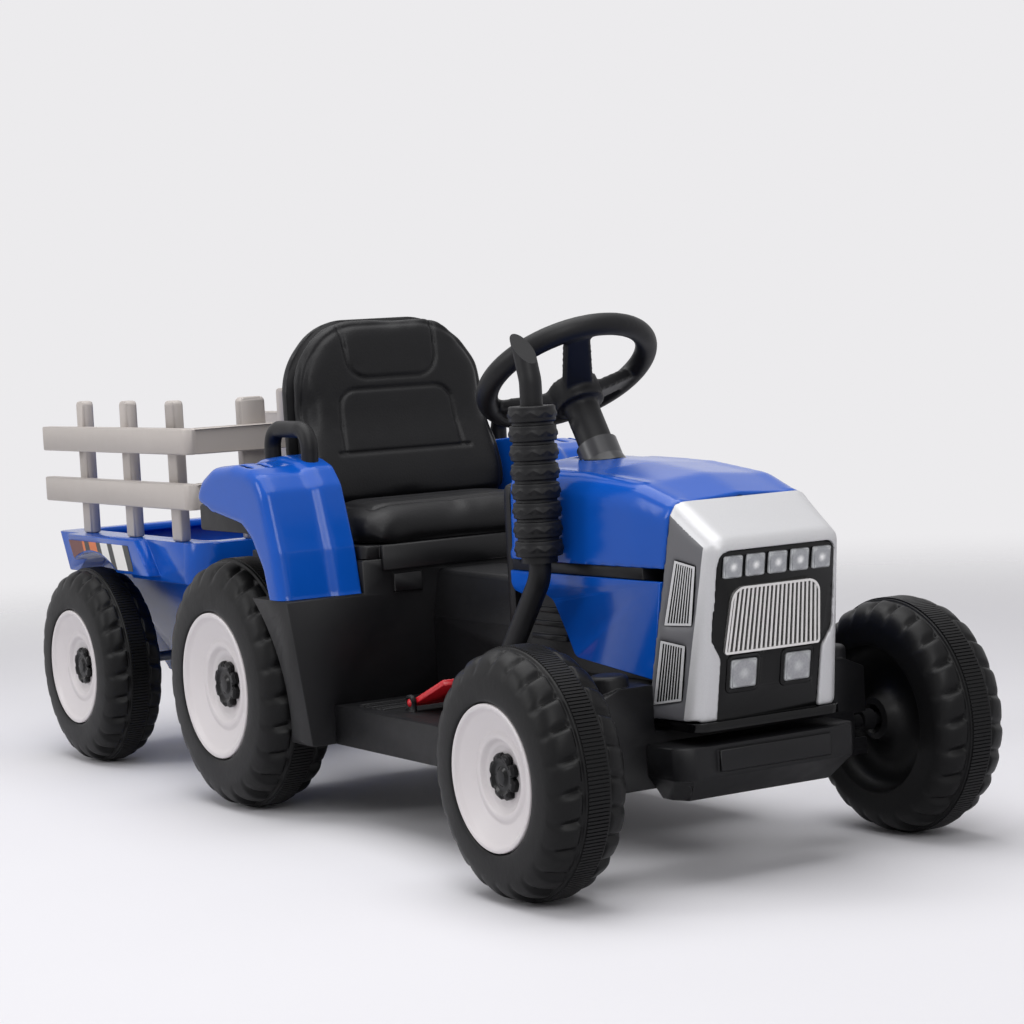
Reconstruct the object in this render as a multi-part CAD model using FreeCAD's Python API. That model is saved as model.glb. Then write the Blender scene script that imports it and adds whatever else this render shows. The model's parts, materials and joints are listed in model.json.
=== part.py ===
# Battery ride-on tractor for a child, with a two-wheel trailer on a pin hitch.
# +X points forward, +Y to the driver's left, +Z up; the origin is on the floor,
# midway between the front of the front tyres and the rear end of the trailer rails.
import FreeCAD
import Part
import math
import os

V = FreeCAD.Vector

# Clearances that serve the whole part.
overrun = 2.0            # how far a cutting solid reaches past the face that it opens
running_gap = 0.05       # radial play of a turning shaft in its bore
part_gap = 0.5           # air between neighbours that move past each other
seam_gap = 0.4           # visible seam between two mouldings of the body
round_limit_share = 0.48 # most of an edge that a rounded corner may take
straight_share = 0.009   # a corner that turns less than this, in radians each way, stays a plain point

# Axles and wheels.
wheelbase = 627.0
trailer_axle_gap = 435.0       # rear axle to trailer axle
rail_front_gap = 161.0         # rear axle to the front of the trailer rails
rail_length = 427.0
front_tyre_radius = 113.0
rear_tyre_radius = 135.0
trailer_tyre_radius = 118.0
front_tyre_width = 80.0
rear_tyre_width = 86.0
trailer_tyre_width = 74.0
front_wheel_outer = 252.0      # middle of the tractor to the outer face of the wheel
rear_wheel_outer = 217.0
trailer_wheel_outer = 200.0
axle_radius = 6.0
axle_nut_radius = 9.0
lug_count = 24                 # lugs on each shoulder of a tyre
lug_slant = 14.0               # degrees
band_rib_count = 84            # ribs round the middle of the tread
cap_lobe_count = 8

# Shares of a tyre's width (first) and radius (second) along half its section, from rim to band.
tyre_half_shares = [(0.03, 0.585), (0.0, 0.63), (0.0, 0.74), (0.03, 0.84), (0.09, 0.91),
                    (0.19, 0.955), (0.355, 0.978), (0.365, 0.96), (0.405, 0.96), (0.415, 0.982)]
rim_share = 0.585              # rim radius over tyre radius
inner_dish_share = 0.62        # radius of the hollow at the back of the wheel
boss_share = 0.2               # radius of the hub boss
web_outer_share = 0.34         # depth of the rim seat, of the tyre's width
web_inner_share = 0.70         # where the back hollow ends, of the tyre's width
groove_floor_share = 0.895     # radius at the bottom of the gaps between lugs
groove_reach_share = 0.36      # how far a gap runs in from the side, of the width
groove_fill_share = 0.30       # gap width over lug pitch
rib_half_share = 0.085         # half width of the ribbed band
rib_fill_share = 0.48          # groove width over rib pitch
rib_floor_share = 0.982
# Shares of the rim's section: width of the tyre (first) and rim radius (second).
rim_front_shares = [(0.0, 1.0), (0.0, 0.94), (0.045, 0.9), (0.15, 0.63), (0.13, 0.58), (0.13, 0.52),
                    (0.19, 0.47), (0.2, 0.42), (0.22, 0.38)]
rim_back_shares = [(0.34, 0.45), (0.28, 0.5), (0.21, 0.6), (0.11, 0.9), (0.13, 0.95), (0.13, 1.0)]
rim_bore_share = 0.19
cap_face_share = 0.14
cap_radius_share = 0.32
cap_dome_share = 0.14
# The cap's ring and notches: shares of its dome or of its outer radius.
cap_valley_share = 1.3
cap_ring_share = 1.6
cap_rim_share = 0.9
cap_knob_share = 0.7
cap_notch_share = 0.2
cap_notch_middle_share = 1.05
hub_face_share = 0.22
axle_end_share = 0.235
nut_face_share = 0.25
nut_back_share = 0.33

# Front axle housing, a channel open to the rear.
beam_front = 21.0              # ahead of the front axle
beam_rear = 46.0               # behind the front axle
beam_bottom = 85.0
beam_top = 178.0
beam_half = 150.0
beam_slope_run = 24.0          # sloping ends of its top
beam_slope_drop = 10.0
beam_wall = 5.0
beam_waist_half = 90.0         # stepped back here to clear the nose
beam_waist_depth = 18.0
beam_waist_bottom = 136.0
crank_notch_half = 22.0          # opening in its top for the steering crank
crank_notch_depth = 16.0
spindle_notch_run = 14.0         # openings in the ends of its front wall for the turned spindles
spindle_notch_half = 12.0

# Steering knuckles.
kingpin_half = 123.0           # middle of the tractor to a kingpin
kingpin_radius = 8.0
kingpin_cap_radius = 17.5
kingpin_cap_top = 189.0
kingpin_cap_bottom = 167.0
kingpin_cap_crown = 5.0
knuckle_radius = 13.0
collar_radius = 10.0
collar_length = 14.0
steer_arm_length = 51.0
steer_arm_half = 9.0
steer_arm_bottom = 116.0
steer_arm_thickness = 8.0
rod_offset = 38.0              # kingpin to tie-rod pin
rod_pin_radius = 4.0
rod_pin_play = 0.7
steer_slot_inner = 32.5
steer_slot_outer = 47.0

# Tie rod.
rod_half_width = 9.0
rod_thickness = 6.0
rod_overhang = 10.0            # past each pin
rod_corner = 7.2
rod_plate_half = 16.0
rod_plate_rear = 35.0          # behind the pins
finger_slot_rear = 23.0        # behind the pins
finger_slot_front = 2.5        # ahead of the pins
finger_slot_play = 0.9

# Steering column.
column_tilt = 33.0             # degrees from upright
steering_x_at = -236.0         # from the front axle
steering_z = 459.0
steering_radius = 83.0         # to the middle of the grip
grip_radius = 11.0
grip_drop = 5.0                # grip below the top of the column
hub_dish = 14.0                # hub face below the grip
hub_radius = 25.0
hub_height = 26.0
spoke_width = 30.0
spoke_thickness = 13.0
spoke_turn = -20.0             # degrees, first spoke from straight ahead
spoke_count = 3
spoke_tip_share = 0.8          # width at the grip over width at the hub
stem_radius = 17.0
stem_end = 124.0               # along the column from the wheel's middle
stem_screw_at = 66.0
stem_screw_radius = 5.0
stem_screw_height = 2.5
shaft_radius = 6.0
shaft_top = 24.0
shaft_end = 356.0
crank_thickness = 8.0
crank_length = 25.5            # column axis to finger
crank_half = 9.0
finger_radius = 4.0
finger_end = 386.0
collar_top = 90.0              # column collar, along the column
collar_bottom = 128.0
column_collar_radius = 20.5
column_collar_flare = 25.5

# Bonnet and bay frame.
bay_rear_at = -206.0           # from the front axle
bay_front_at = 3.0             # from the front axle
bay_rear_half = 84.0
bay_front_half = 76.0
bay_bottom = 178.0
bay_top = 281.0
bay_wall = 4.0
bay_floor = 6.0
stripe_height = 11.0           # black flange seen under the bonnet
stripe_overhang = 7.0
shaft_boss_radius = 13.0
shaft_boss_top = 300.0         # along the column
bonnet_wall = 4.0
bonnet_rear_at = -211.0        # from the front axle
bonnet_station_shares = [0.0, 0.42, 0.75, 1.0]    # of the bonnet's length
bonnet_half = 97.0
bonnet_height = 93.0           # above the bay frame
bonnet_half_shares = [1.0, 0.959, 0.876, 0.784]    # at the stations
bonnet_height_shares = [1.0, 0.957, 0.86, 0.62]
bonnet_front_at = 59.0         # from the front axle
# Half of the bonnet's section: shares of half width and of height.
bonnet_section_shares = [(1.0, 0.0), (0.985, 0.72), (0.9, 0.9), (0.78, 0.955), (0.7, 0.935)]
bonnet_round = 16.0
bonnet_rear_sweep = 32.0       # how far the rear edge sweeps forward at the sides
bonnet_sweep_half = 46.0
panel_thickness = 6.0
panel_rear_at = -209.0         # from the front axle
# Lower edge of a side panel: shares of its length and of its height, from the front backwards.
panel_edge_shares = [(0.42, 0.16), (0.385, 0.33), (0.29, 0.72), (0.2, 0.82), (0.1, 0.74), (0.0, 0.8)]
panel_round = 12.0
bay_rib_count = 3
bay_rib_height = 5.0
bay_rib_depth = 4.0
bay_rib_pitch = 13.0
bay_rib_low = 205.0
bay_rib_rear_at = -186.0       # from the front axle
bay_rib_front_at = -126.0      # from the front axle
nose_bracket_low = 205.0       # brackets on the bay frame that carry the nose
nose_bracket_top = 250.0
nose_bracket_reach = 42.0
nose_bracket_inner = 60.0

# Nose.
nose_top_rear_at = (42.0, 338.0)   # corners of its side outline: x from the front axle, and z
nose_top_front_at = (99.0, 306.0)
nose_low_front_at = (70.0, 146.0)
nose_low_rear_at = (7.0, 146.0)
nose_low_half = 83.0
nose_top_half = 70.0
nose_wall = 5.0
nose_edge = 6.0                # rim left round the openings below and behind the nose
nose_round = 16.0
lip_height = 8.0
panel_recess = 3.0             # face panel behind the silver edge
face_flange = 5.0
face_top = 154.0               # up the sloping face
face_top_half = 64.0
face_waist_top = 74.0
face_waist_bottom = 56.0
face_mid_half = 67.0
face_low_half = 56.0
face_low = -2.0                # the opening runs out below the nose
face_round = 11.0
lamp_count = 5
lamp_width = 21.0
lamp_height = 19.0
lamp_pitch = 24.4
lamp_low = 130.0
lamp_proud = 2.5
lamp_round = 3.0
fog_width = 28.0
fog_height = 26.0
fog_middle = 30.0              # from the middle of the nose
fog_low = 28.0
fog_frame = 4.5
fog_frame_proud = 1.5
grille_low = 60.0
grille_top = 121.0
grille_low_half = 53.0
grille_top_half = 48.0
grille_frame = 2.2
grille_round = 14.0
grille_bar_count = 20
grille_bar = 2.3
grille_proud = 3.0
vent_depth = 3.0               # side grilles stand in pockets this deep
vent_frame = 3.0
vent_bar_count = 9
vent_bar = 1.1
vent_gap = 0.3
# Side grilles: corners as shares along the nose's depth and height (lower, then upper insert).
vent_low_shares = [(0.1, 0.08), (0.68, 0.12), (0.63, 0.43), (0.1, 0.45)]
vent_top_shares = [(0.14, 0.53), (0.71, 0.54), (0.65, 0.87), (0.2, 0.9)]

# Bumper.
bumper_front_at = 77.0         # from the front axle
bumper_face_half = 87.0
bumper_half = 101.0
bumper_corner_run = 16.0
bumper_top = 126.0
bumper_knee = 98.0
bumper_bottom = 75.0
bumper_undercut = 25.0
bumper_low_half = 86.0
bumper_plate_half = 62.0
bumper_plate = 3.0
bumper_plate_margin = 4.0

# Floor pan and centre tunnel.
floor_rear_at = 182.0          # from the rear axle
board_front_at = -153.0        # from the front axle
board_half = 168.0
board_top = 125.0
board_bottom = 85.0
board_wall = 4.0
board_edge_round = 14.0
spine_half = 45.0
spine_step_at = -81.0          # from the front axle; the spine drops here to clear the tie rod
spine_low_top = 105.0
tread_rib_count = 9
tread_rib_inner = 66.0
tread_rib_width = 5.0
tread_rib_height = 2.0
tread_rib_first_at = 208.0     # from the rear axle
tread_rib_pitch = 12.0
tunnel_half = 45.0
tunnel_top_half = 36.0
tunnel_shoulder = 205.0
tunnel_top = 254.0
tunnel_step_at = -218.0        # from the front axle; rear face of the dash
tunnel_wall = 4.0
dash_thickness = 12.0
dash_low = 178.0
dash_half = 80.0
dash_side_top = 335.0
dash_crown = 362.0
dash_crown_half = 44.0

# Dash controls.
button_y = 40.0
button_z = 312.0
button_radius = 10.0
button_proud = 5.0
button_length = 13.0
rocker_y = -40.0
rocker_z = 312.0
rocker_width = 24.0
rocker_height = 36.0
rocker_proud = 3.0
rocker_depth = 6.0
rocker_room = 1.6
rocker_pin_radius = 3.0
rocker_pin_length = 3.0

# Foot pedal.
pedal_x_at = -339.0            # from the front axle
pedal_edge = 56.0               # its middle inside the right edge of the board
pedal_z = 134.0
pedal_pin_radius = 4.0
pedal_half = 22.0
pedal_length = 66.0
pedal_thickness = 6.0
pedal_rise = 22.0              # degrees
pedal_ear = 5.0
pedal_ear_half = 8.0
pedal_ear_round = 7.0
pedal_ear_gap = 0.5
pedal_rib_count = 5
pedal_rib = 3.0
pedal_rib_height = 1.5

# Exhaust stack.
exhaust_y = -118.0
exhaust_x_at = -113.0          # from the front axle
exhaust_foot_x_at = -177.0     # from the front axle
exhaust_foot_rise = 66.0       # straight run above the floor
exhaust_elbow_drop = 14.0      # upper elbow below the sleeve
exhaust_bend = 34.0
exhaust_elbow_bend = 33.6
exhaust_tip_bend = 26.0
exhaust_radius = 10.5
exhaust_tip_z = 500.0
exhaust_tip_x_at = -128.0      # from the front axle
exhaust_tip_turn = 452.0
exhaust_cut_z = 462.0          # where the slanted cut leaves the front of the pipe
exhaust_slant = 43.0           # degrees, the cut from level, rising to the rear
exhaust_flange_radius = 18.0
exhaust_flange = 5.0
sleeve_bottom = 290.0
sleeve_top = 432.0
sleeve_radius = 22.5
sleeve_groove_radius = 19.5
sleeve_ring_count = 8
sleeve_groove = 3.0
sleeve_round = 2.0
sleeve_seat_radius = 17.0
sleeve_seat = 6.0

# Rear body and fenders.
body_rear_at = -74.0           # from the rear axle
body_half = 126.0
body_top = 270.0
body_bottom = 85.0
body_wall = 4.0
guard_top = 236.0
guard_top_half = 215.0
guard_low_half = 195.0
guard_rear_at = 86.0           # from the rear axle
tyre_room = 8.0                # air between a tyre and the body round it
latch_y = -74.0
latch_half = 17.0
latch_height = 20.0
latch_depth = 3.0
latch_top = 254.0
fender_inner = 126.5
fender_outer = 217.0
fender_wall = 4.0
fender_edge = 12.0
fender_edge_steps = 5
fender_ridge_outer = 162.0     # raised inner part that carries the handle
fender_ridge_rise = 5.0
fender_rear_at = -49.0         # from the rear axle
fender_top = 374.0
# Fender outline as shares of its length (rear to front) and of its height above the guard.
fender_shares = [(1.0, 0.0), (0.915, 0.4), (0.835, 0.8), (0.77, 0.92), (0.68, 0.97), (0.52, 1.0), (0.3, 0.97),
                 (0.1, 0.84), (0.0, 0.71), (0.0, 0.6), (0.3, 0.59), (0.58, 0.52), (0.67, 0.42), (0.76, 0.22),
                 (0.83, 0.0)]
fender_round = 14.0
vent_slot_count = 6
vent_slot_length = 62.0
vent_slot_width = 3.0
vent_slot_pitch = 6.5
vent_slot_first = 170.0
vent_slot_front_at = 102.0     # from the rear axle
handle_y = 142.0
handle_rear_at = 25.0          # from the rear axle
handle_front_at = 110.0        # from the rear axle
handle_radius = 9.0
handle_top = 415.0
handle_bend = 20.0

# Seat.
pan_margin = 1.0               # lid inside the edge of the seat box
pan_thickness = 14.0
pan_round = 10.0
pan_skirt = 5.0                # skirt in front of the seat box
pan_skirt_drop = 12.0
pan_skirt_half = 104.0
back_lean = 8.0               # degrees
back_foot_x_at = 40.0          # from the rear axle
back_height = 237.0
back_low_half = 121.0
back_wide_half = 124.0
back_shoulder_half = 118.0
back_top_half = 72.0
back_wide_share = 0.36
back_shoulder_share = 0.785
back_shell = 9.0
back_round = 80.0
back_low_round = 30.0
pad_inset = 4.0
back_pad_thickness = 25.0
pad_low_share = 0.06           # pad starts this far up the back
cushion_rear_at = 41.0         # from the rear axle
cushion_front_at = 180.0       # from the rear axle
cushion_half = 123.5
cushion_thickness = 40.0
cushion_round = 30.0
# Padded forms: how far the outline draws in (share of the thickness) at each share of the thickness.
pad_level_shares = [(0.0, 0.2), (0.2, 0.02), (0.45, 0.0), (0.7, 0.14), (0.88, 0.42), (0.97, 0.85), (1.0, 1.5)]
cushion_waist = 4.0            # how far its sides draw in between the corners
channel_width = 5.0
channel_depth = 4.0
channel_round = 22.0
channel_top_shares = [(0.47, 1.0), (0.42, 0.7), (-0.42, 0.7), (-0.47, 1.0)]
channel_low_shares = [(0.59, 0.33), (0.54, 0.635), (-0.54, 0.635), (-0.59, 0.33)]
cushion_channel_share = 0.55

# Drive inside the rear body.
gear_inner = 84.0
gear_rear = 44.0               # behind the rear axle
gear_front = 56.0              # ahead of the rear axle
gear_top = 192.0
gear_boss_radius = 18.0
gear_boss_room = 0.6
motor_radius = 18.0
motor_length = 62.0
motor_z = 152.0
motor_y = 102.0
battery_rear_at = 18.0         # from the rear axle
battery_length = 98.0
battery_half = 40.0
battery_height = 94.0
battery_post_radius = 4.0
battery_post_height = 6.0
control_rear_at = 128.0        # from the rear axle
control_length = 40.0
control_half = 34.0
control_height = 60.0

# Hitch.
hitch_x_at = -104.0            # from the rear axle
hitch_half = 22.0
hitch_corner = 17.6
hitch_plate = 6.0
hitch_low = 92.0
hitch_gap = 20.0
pin_radius = 8.0
pin_head_radius = 13.0
pin_head = 6.0
bar_half = 15.0
bar_rear_at = 41.0             # from the trailer axle
bar_eye_radius = 20.0

# Trailer.
tray_inset = 8.0               # tray inside the rails
tray_half = 150.0
tray_top = 274.0
tray_bottom = 226.0
tray_wall = 5.0
tray_round = 36.0
rim_width = 32.0
rim_height = 8.0
arch_gap = 18.0                # tyre to arch
arch_skin = 5.0
arch_inner = 116.0
flare_outer = 166.0
flare_rear_inset = 78.0        # ahead of the rear end of the rails, at the tray's rim
flare_rear_low_inset = 104.0   # the same, at its lower edge
flare_front_top_at = 128.0     # from the trailer axle
flare_front_low_at = 165.0     # from the trailer axle
flare_low = 233.0
hull_rear_inset = 44.0           # ahead of the rear end of the rails
hull_top_front_at = 221.0      # from the trailer axle
hull_top_half = 106.0
hull_low_rear_at = -49.0       # from the trailer axle
hull_low_front_at = 71.0       # from the trailer axle
hull_low_half = 58.0
hull_bottom = 96.0
hull_floor = 134.0             # inside of the hull, above the axle
hull_wall = 6.0
post_width = 25.0
post_depth = 14.0
post_top = 437.0
post_round = 6.0
side_post_shares = [0.217, 0.527, 0.834]       # along the rails from the rear
front_post_y = 65.0
front_post_width = 33.0
rail_outer = 159.0
rail_thickness = 14.0
rail_height = 30.0
rail_low = 313.0
rail_pitch = 63.0
rail_count = 2

# Places that follow from the sizes.
total_length = front_tyre_radius + wheelbase + rail_front_gap + rail_length
front_x = total_length / 2 - front_tyre_radius
rear_x = front_x - wheelbase
trailer_x = rear_x - trailer_axle_gap
rail_front_x = rear_x - rail_front_gap
rail_rear_x = rail_front_x - rail_length
steering_x = front_x + steering_x_at
bay_rear = front_x + bay_rear_at
bay_front = front_x + bay_front_at
bonnet_rear = front_x + bonnet_rear_at
bonnet_front = front_x + bonnet_front_at
panel_rear = front_x + panel_rear_at
bay_rib_rear = front_x + bay_rib_rear_at
bay_rib_front = front_x + bay_rib_front_at
bumper_front = front_x + bumper_front_at
board_front = front_x + board_front_at
spine_step = front_x + spine_step_at
tunnel_step = front_x + tunnel_step_at
pedal_x = front_x + pedal_x_at
exhaust_x = front_x + exhaust_x_at
exhaust_foot_x = front_x + exhaust_foot_x_at
exhaust_tip_x = front_x + exhaust_tip_x_at
floor_rear = rear_x + floor_rear_at
tread_rib_first = rear_x + tread_rib_first_at
body_rear = rear_x + body_rear_at
guard_rear = rear_x + guard_rear_at
fender_rear = rear_x + fender_rear_at
vent_slot_front = rear_x + vent_slot_front_at
handle_rear = rear_x + handle_rear_at
handle_front = rear_x + handle_front_at
back_foot_x = rear_x + back_foot_x_at
cushion_rear = rear_x + cushion_rear_at
cushion_front = rear_x + cushion_front_at
battery_rear = rear_x + battery_rear_at
control_rear = rear_x + control_rear_at
hitch_x = rear_x + hitch_x_at
bar_rear = trailer_x + bar_rear_at
flare_front_top = trailer_x + flare_front_top_at
flare_front_low = trailer_x + flare_front_low_at
hull_top_front = trailer_x + hull_top_front_at
hull_low_rear = trailer_x + hull_low_rear_at
hull_low_front = trailer_x + hull_low_front_at
nose_top_rear = (front_x + nose_top_rear_at[0], nose_top_rear_at[1])
nose_top_front = (front_x + nose_top_front_at[0], nose_top_front_at[1])
nose_low_front = (front_x + nose_low_front_at[0], nose_low_front_at[1])
nose_low_rear = (front_x + nose_low_rear_at[0], nose_low_rear_at[1])
flare_rear = rail_rear_x + flare_rear_inset
flare_rear_low = rail_rear_x + flare_rear_low_inset
hull_top_rear = rail_rear_x + hull_rear_inset
pedal_y = pedal_edge - board_half
tilt = math.radians(column_tilt)
column_dir = V(math.sin(tilt), 0, -math.cos(tilt))
column_side = V(-math.cos(tilt), 0, -math.sin(tilt))
steering_middle = V(steering_x, 0, steering_z)
Y_AXIS = V(0, 1, 0)
Z_AXIS = V(0, 0, 1)


def block(x0, x1, y0, y1, z0, z1):
    """Box between two corners."""
    return Part.makeBox(x1 - x0, y1 - y0, z1 - z0, V(x0, y0, z0))


def rod(start, end, radius):
    """Round bar between two points."""
    return Part.makeCylinder(radius, (end - start).Length, start, end - start)


def fuse(first, *others):
    """One solid from solids that touch or overlap."""
    return first.fuse(list(others)).removeSplitter()


def mirrored(shape):
    """The same shape on the other side of the tractor."""
    return shape.mirror(V(0, 0, 0), Y_AXIS)


def in_side(y):
    """Place of an outline drawn in x and z."""
    return lambda p: V(p[0], y, p[1])


def in_front(x):
    """Place of an outline drawn in y and z."""
    return lambda p: V(x, p[0], p[1])


def in_plan(z):
    """Place of an outline drawn in x and y."""
    return lambda p: V(p[0], p[1], z)


def corner_cut(before, corner, after, radius):
    """Where a rounded corner starts and ends, and the middle of its arc; a sharp corner gives one point."""
    a = (before - corner)
    b = (after - corner)
    reach_a, reach_b = a.Length, b.Length
    a.normalize()
    b.normalize()
    half = a.getAngle(b) / 2
    reach = min(radius / math.tan(half), reach_a * round_limit_share, reach_b * round_limit_share)
    radius = reach * math.tan(half)
    if radius <= 0 or math.pi / 2 - half < straight_share:
        return [corner]
    middle = (a + b)
    middle.normalize()
    heart = corner + middle * (radius / math.sin(half))
    return [corner + a * reach, heart - middle * radius, corner + b * reach]


def loop(points, place, rounds=0):
    """Closed wire through the points; every corner is rounded to its radius."""
    spots = [place(p) for p in points]
    count = len(spots)
    radii = rounds if isinstance(rounds, list) else [rounds] * count
    cuts = [corner_cut(spots[i - 1], spots[i], spots[(i + 1) % count], radii[i]) for i in range(count)]
    edges = []
    for i, cut in enumerate(cuts):
        edges.append(Part.makeLine(cuts[i - 1][-1], cut[0]))
        if len(cut) > 1:
            edges.append(Part.Arc(*cut).toShape())
    return Part.Wire(edges)


def slab(points, place, run, rounds=0):
    """Outline pulled straight along a vector."""
    return Part.Face(loop(points, place, rounds)).extrude(run)


def side_slab(points, y0, y1, rounds=0):
    """Outline in x and z, from one y to another."""
    return slab(points, in_side(y0), V(0, y1 - y0, 0), rounds)


def front_slab(points, x0, x1, rounds=0):
    """Outline in y and z, from one x to another."""
    return slab(points, in_front(x0), V(x1 - x0, 0, 0), rounds)


def plan_slab(points, z0, z1, rounds=0):
    """Outline in x and y, from one height to another."""
    return slab(points, in_plan(z0), V(0, 0, z1 - z0), rounds)


def inset(points, amount):
    """The outline moved inwards by an amount, corner by corner."""
    count = len(points)
    area = sum(points[i - 1][0] * points[i][1] - points[i][0] * points[i - 1][1] for i in range(count))
    turn = amount if area > 0 else -amount
    moved = []
    for i in range(count):
        (ax, ay), (bx, by), (cx, cy) = points[i - 1], points[i], points[(i + 1) % count]
        first = math.hypot(bx - ax, by - ay)
        second = math.hypot(cx - bx, cy - by)
        n1 = (-(by - ay) / first, (bx - ax) / first)
        n2 = (-(cy - by) / second, (cx - bx) / second)
        stretch = turn / (1 + n1[0] * n2[0] + n1[1] * n2[1])
        moved.append((bx + (n1[0] + n2[0]) * stretch, by + (n1[1] + n2[1]) * stretch))
    return moved


def spread(shares, x0, x1, z0, z1):
    """Outline from shares of a length and a height."""
    return [(x0 + (x1 - x0) * a, z0 + (z1 - z0) * b) for a, b in shares]


def both_sides(half):
    """A half outline and its mirror image as one list."""
    return half + [(-a, b) for a, b in reversed(half) if a]


def spun(points, middle, axis):
    """Outline of (distance along the axis, radius) turned round the axis through a point."""
    side = V(0, 0, 1) if abs(axis.z) < 0.5 else V(1, 0, 0)
    side = (side - axis * side.dot(axis)).normalize()
    wire = Part.makePolygon([middle + axis * a + side * r for a, r in points + points[:1]])
    return Part.Face(wire).revolve(middle, axis, 360)


def wedge(outline, low, low_half, high, high_half):
    """Side outline whose half width changes evenly with height."""
    def half(z):
        return low_half + (high_half - low_half) * (z - low) / (high - low)
    right = [V(x, -half(z), z) for x, z in outline]
    left = [V(x, half(z), z) for x, z in outline]
    count = len(outline)
    rings = [right, left]
    rings += [[right[i - 1], right[i], left[i], left[i - 1]] for i in range(count)]
    faces = [Part.Face(Part.makePolygon(ring + ring[:1])) for ring in rings]
    return Part.Solid(Part.Shell(faces))


def tube(points, radius, bend):
    """Round bar along straight runs joined by arcs."""
    spots = points
    edges = []
    start = spots[0]
    for i in range(1, len(spots) - 1):
        cut = corner_cut(spots[i - 1], spots[i], spots[i + 1], bend[i - 1])
        edges.append(Part.makeLine(start, cut[0]))
        edges.append(Part.Arc(*cut).toShape())
        start = cut[-1]
    edges.append(Part.makeLine(start, spots[-1]))
    ring = Part.Wire(Part.makeCircle(radius, spots[0], spots[1] - spots[0]))
    return Part.Wire(edges).makePipeShell([ring], True, False)


# Wheels, built with the outer face at y = 0 and the axle along +Y, on the right-hand side.

def tyre(radius, width):
    """Moulded tyre: round section, slanted lugs on both shoulders, ribbed band round the middle."""
    half = [(width * a, radius * r) for a, r in tyre_half_shares]
    back = [(width - a, r) for a, r in reversed(half[1:])]
    seat = radius * rim_share
    bore = axle_radius + running_gap
    deep = width * web_inner_share
    dish = radius * inner_dish_share
    boss = radius * boss_share
    inside = [(width, dish), (deep, dish), (deep, boss), (width, boss), (width, bore)]
    inside += [(width * web_outer_share, bore), (width * web_outer_share, seat)]
    body = spun(half + back + inside, V(0, 0, 0), Y_AXIS)
    band = [(width * (0.5 - rib_half_share), radius * rib_floor_share - part_gap),
            (width * (0.5 + rib_half_share), radius * rib_floor_share - part_gap),
            (width * (0.5 + rib_half_share), radius), (width * (0.5 - rib_half_share), radius)]
    body = fuse(body, spun(band, V(0, 0, 0), Y_AXIS))
    cuts = []
    floor = radius * groove_floor_share
    gap = math.tau * radius / lug_count * groove_fill_share
    reach = width * groove_reach_share
    for i in range(lug_count):
        groove = block(-gap / 2, gap / 2, -reach, reach, floor, radius + overrun)
        groove.rotate(V(0, reach, 0), Z_AXIS, lug_slant)
        groove.rotate(V(0, 0, 0), Y_AXIS, 360 * i / lug_count)
        cuts.append(groove)
        other = block(-gap / 2, gap / 2, width - reach, width + reach, floor, radius + overrun)
        other.rotate(V(0, width - reach, 0), Z_AXIS, -lug_slant)
        other.rotate(V(0, 0, 0), Y_AXIS, 360 * (i + 0.5) / lug_count)
        cuts.append(other)
    rib = math.tau * radius / band_rib_count * rib_fill_share
    rib_half = width * rib_half_share + overrun / 2
    for i in range(band_rib_count):
        slot = block(-rib / 2, rib / 2, width / 2 - rib_half, width / 2 + rib_half,
                     radius * rib_floor_share, radius + overrun)
        slot.rotate(V(0, 0, 0), Y_AXIS, 360 * (i + 0.5) / band_rib_count)
        cuts.append(slot)
    return body.cut(cuts)


def rim(radius, width):
    """Dished rim disc with a raised ring round its hub face."""
    edge = radius * rim_share - part_gap
    front = [(width * a, edge * r) for a, r in rim_front_shares]
    bore = edge * rim_bore_share
    hole = [(width * hub_face_share, bore), (width * web_outer_share, bore)]
    back = [(width * a, edge * r) for a, r in rim_back_shares]
    return spun(front + hole + back, V(0, 0, 0), Y_AXIS)


def hub_cap(radius, width):
    """Lobed cap with a low dome, on the rim's hub face."""
    edge = radius * rim_share
    face = width * cap_face_share
    seat = width * hub_face_share
    outer = edge * cap_radius_share
    dome = edge * cap_dome_share
    third = face + (seat - face) / 3
    profile = [(seat, 0), (third, 0), (third, dome * cap_valley_share), (face, dome * cap_ring_share),
               (face, outer * cap_rim_share), (third, outer), (seat, outer)]
    cap = spun(profile, V(0, 0, 0), Y_AXIS)
    knob = spun([(face, 0), (face, dome * cap_knob_share), (seat, dome), (seat, 0)], V(0, 0, 0), Y_AXIS)
    notches = []
    for i in range(cap_lobe_count):
        notch = Part.makeCylinder(outer * cap_notch_share, seat, V(0, 0, outer * cap_notch_middle_share), Y_AXIS)
        notch.rotate(V(0, 0, 0), Y_AXIS, 360 * i / cap_lobe_count)
        notches.append(notch)
    return fuse(cap, knob).cut(notches)


def axle_nut(width, outer):
    """Push-on nut on the right-hand end of an axle; returns its place as a ring along y."""
    face = -outer + width * nut_face_share
    back = -outer + width * nut_back_share
    ring = [(face, axle_radius), (face, axle_nut_radius), (back, axle_nut_radius), (back, axle_radius)]
    return spun(ring, V(0, 0, 0), Y_AXIS)


def wheel_pieces(name, x, radius, width, outer):
    """The three pieces of the right and left wheels of one axle."""
    place = V(x, -outer, radius)
    made = {}
    for piece, shape in (("tyre", tyre(radius, width)), ("rim", rim(radius, width)),
                         ("hub_cap", hub_cap(radius, width))):
        shape.translate(place)
        made[name + "_right_" + piece] = shape
        made[name + "_left_" + piece] = mirrored(shape)
    return made


# Front axle and steering.

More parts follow.
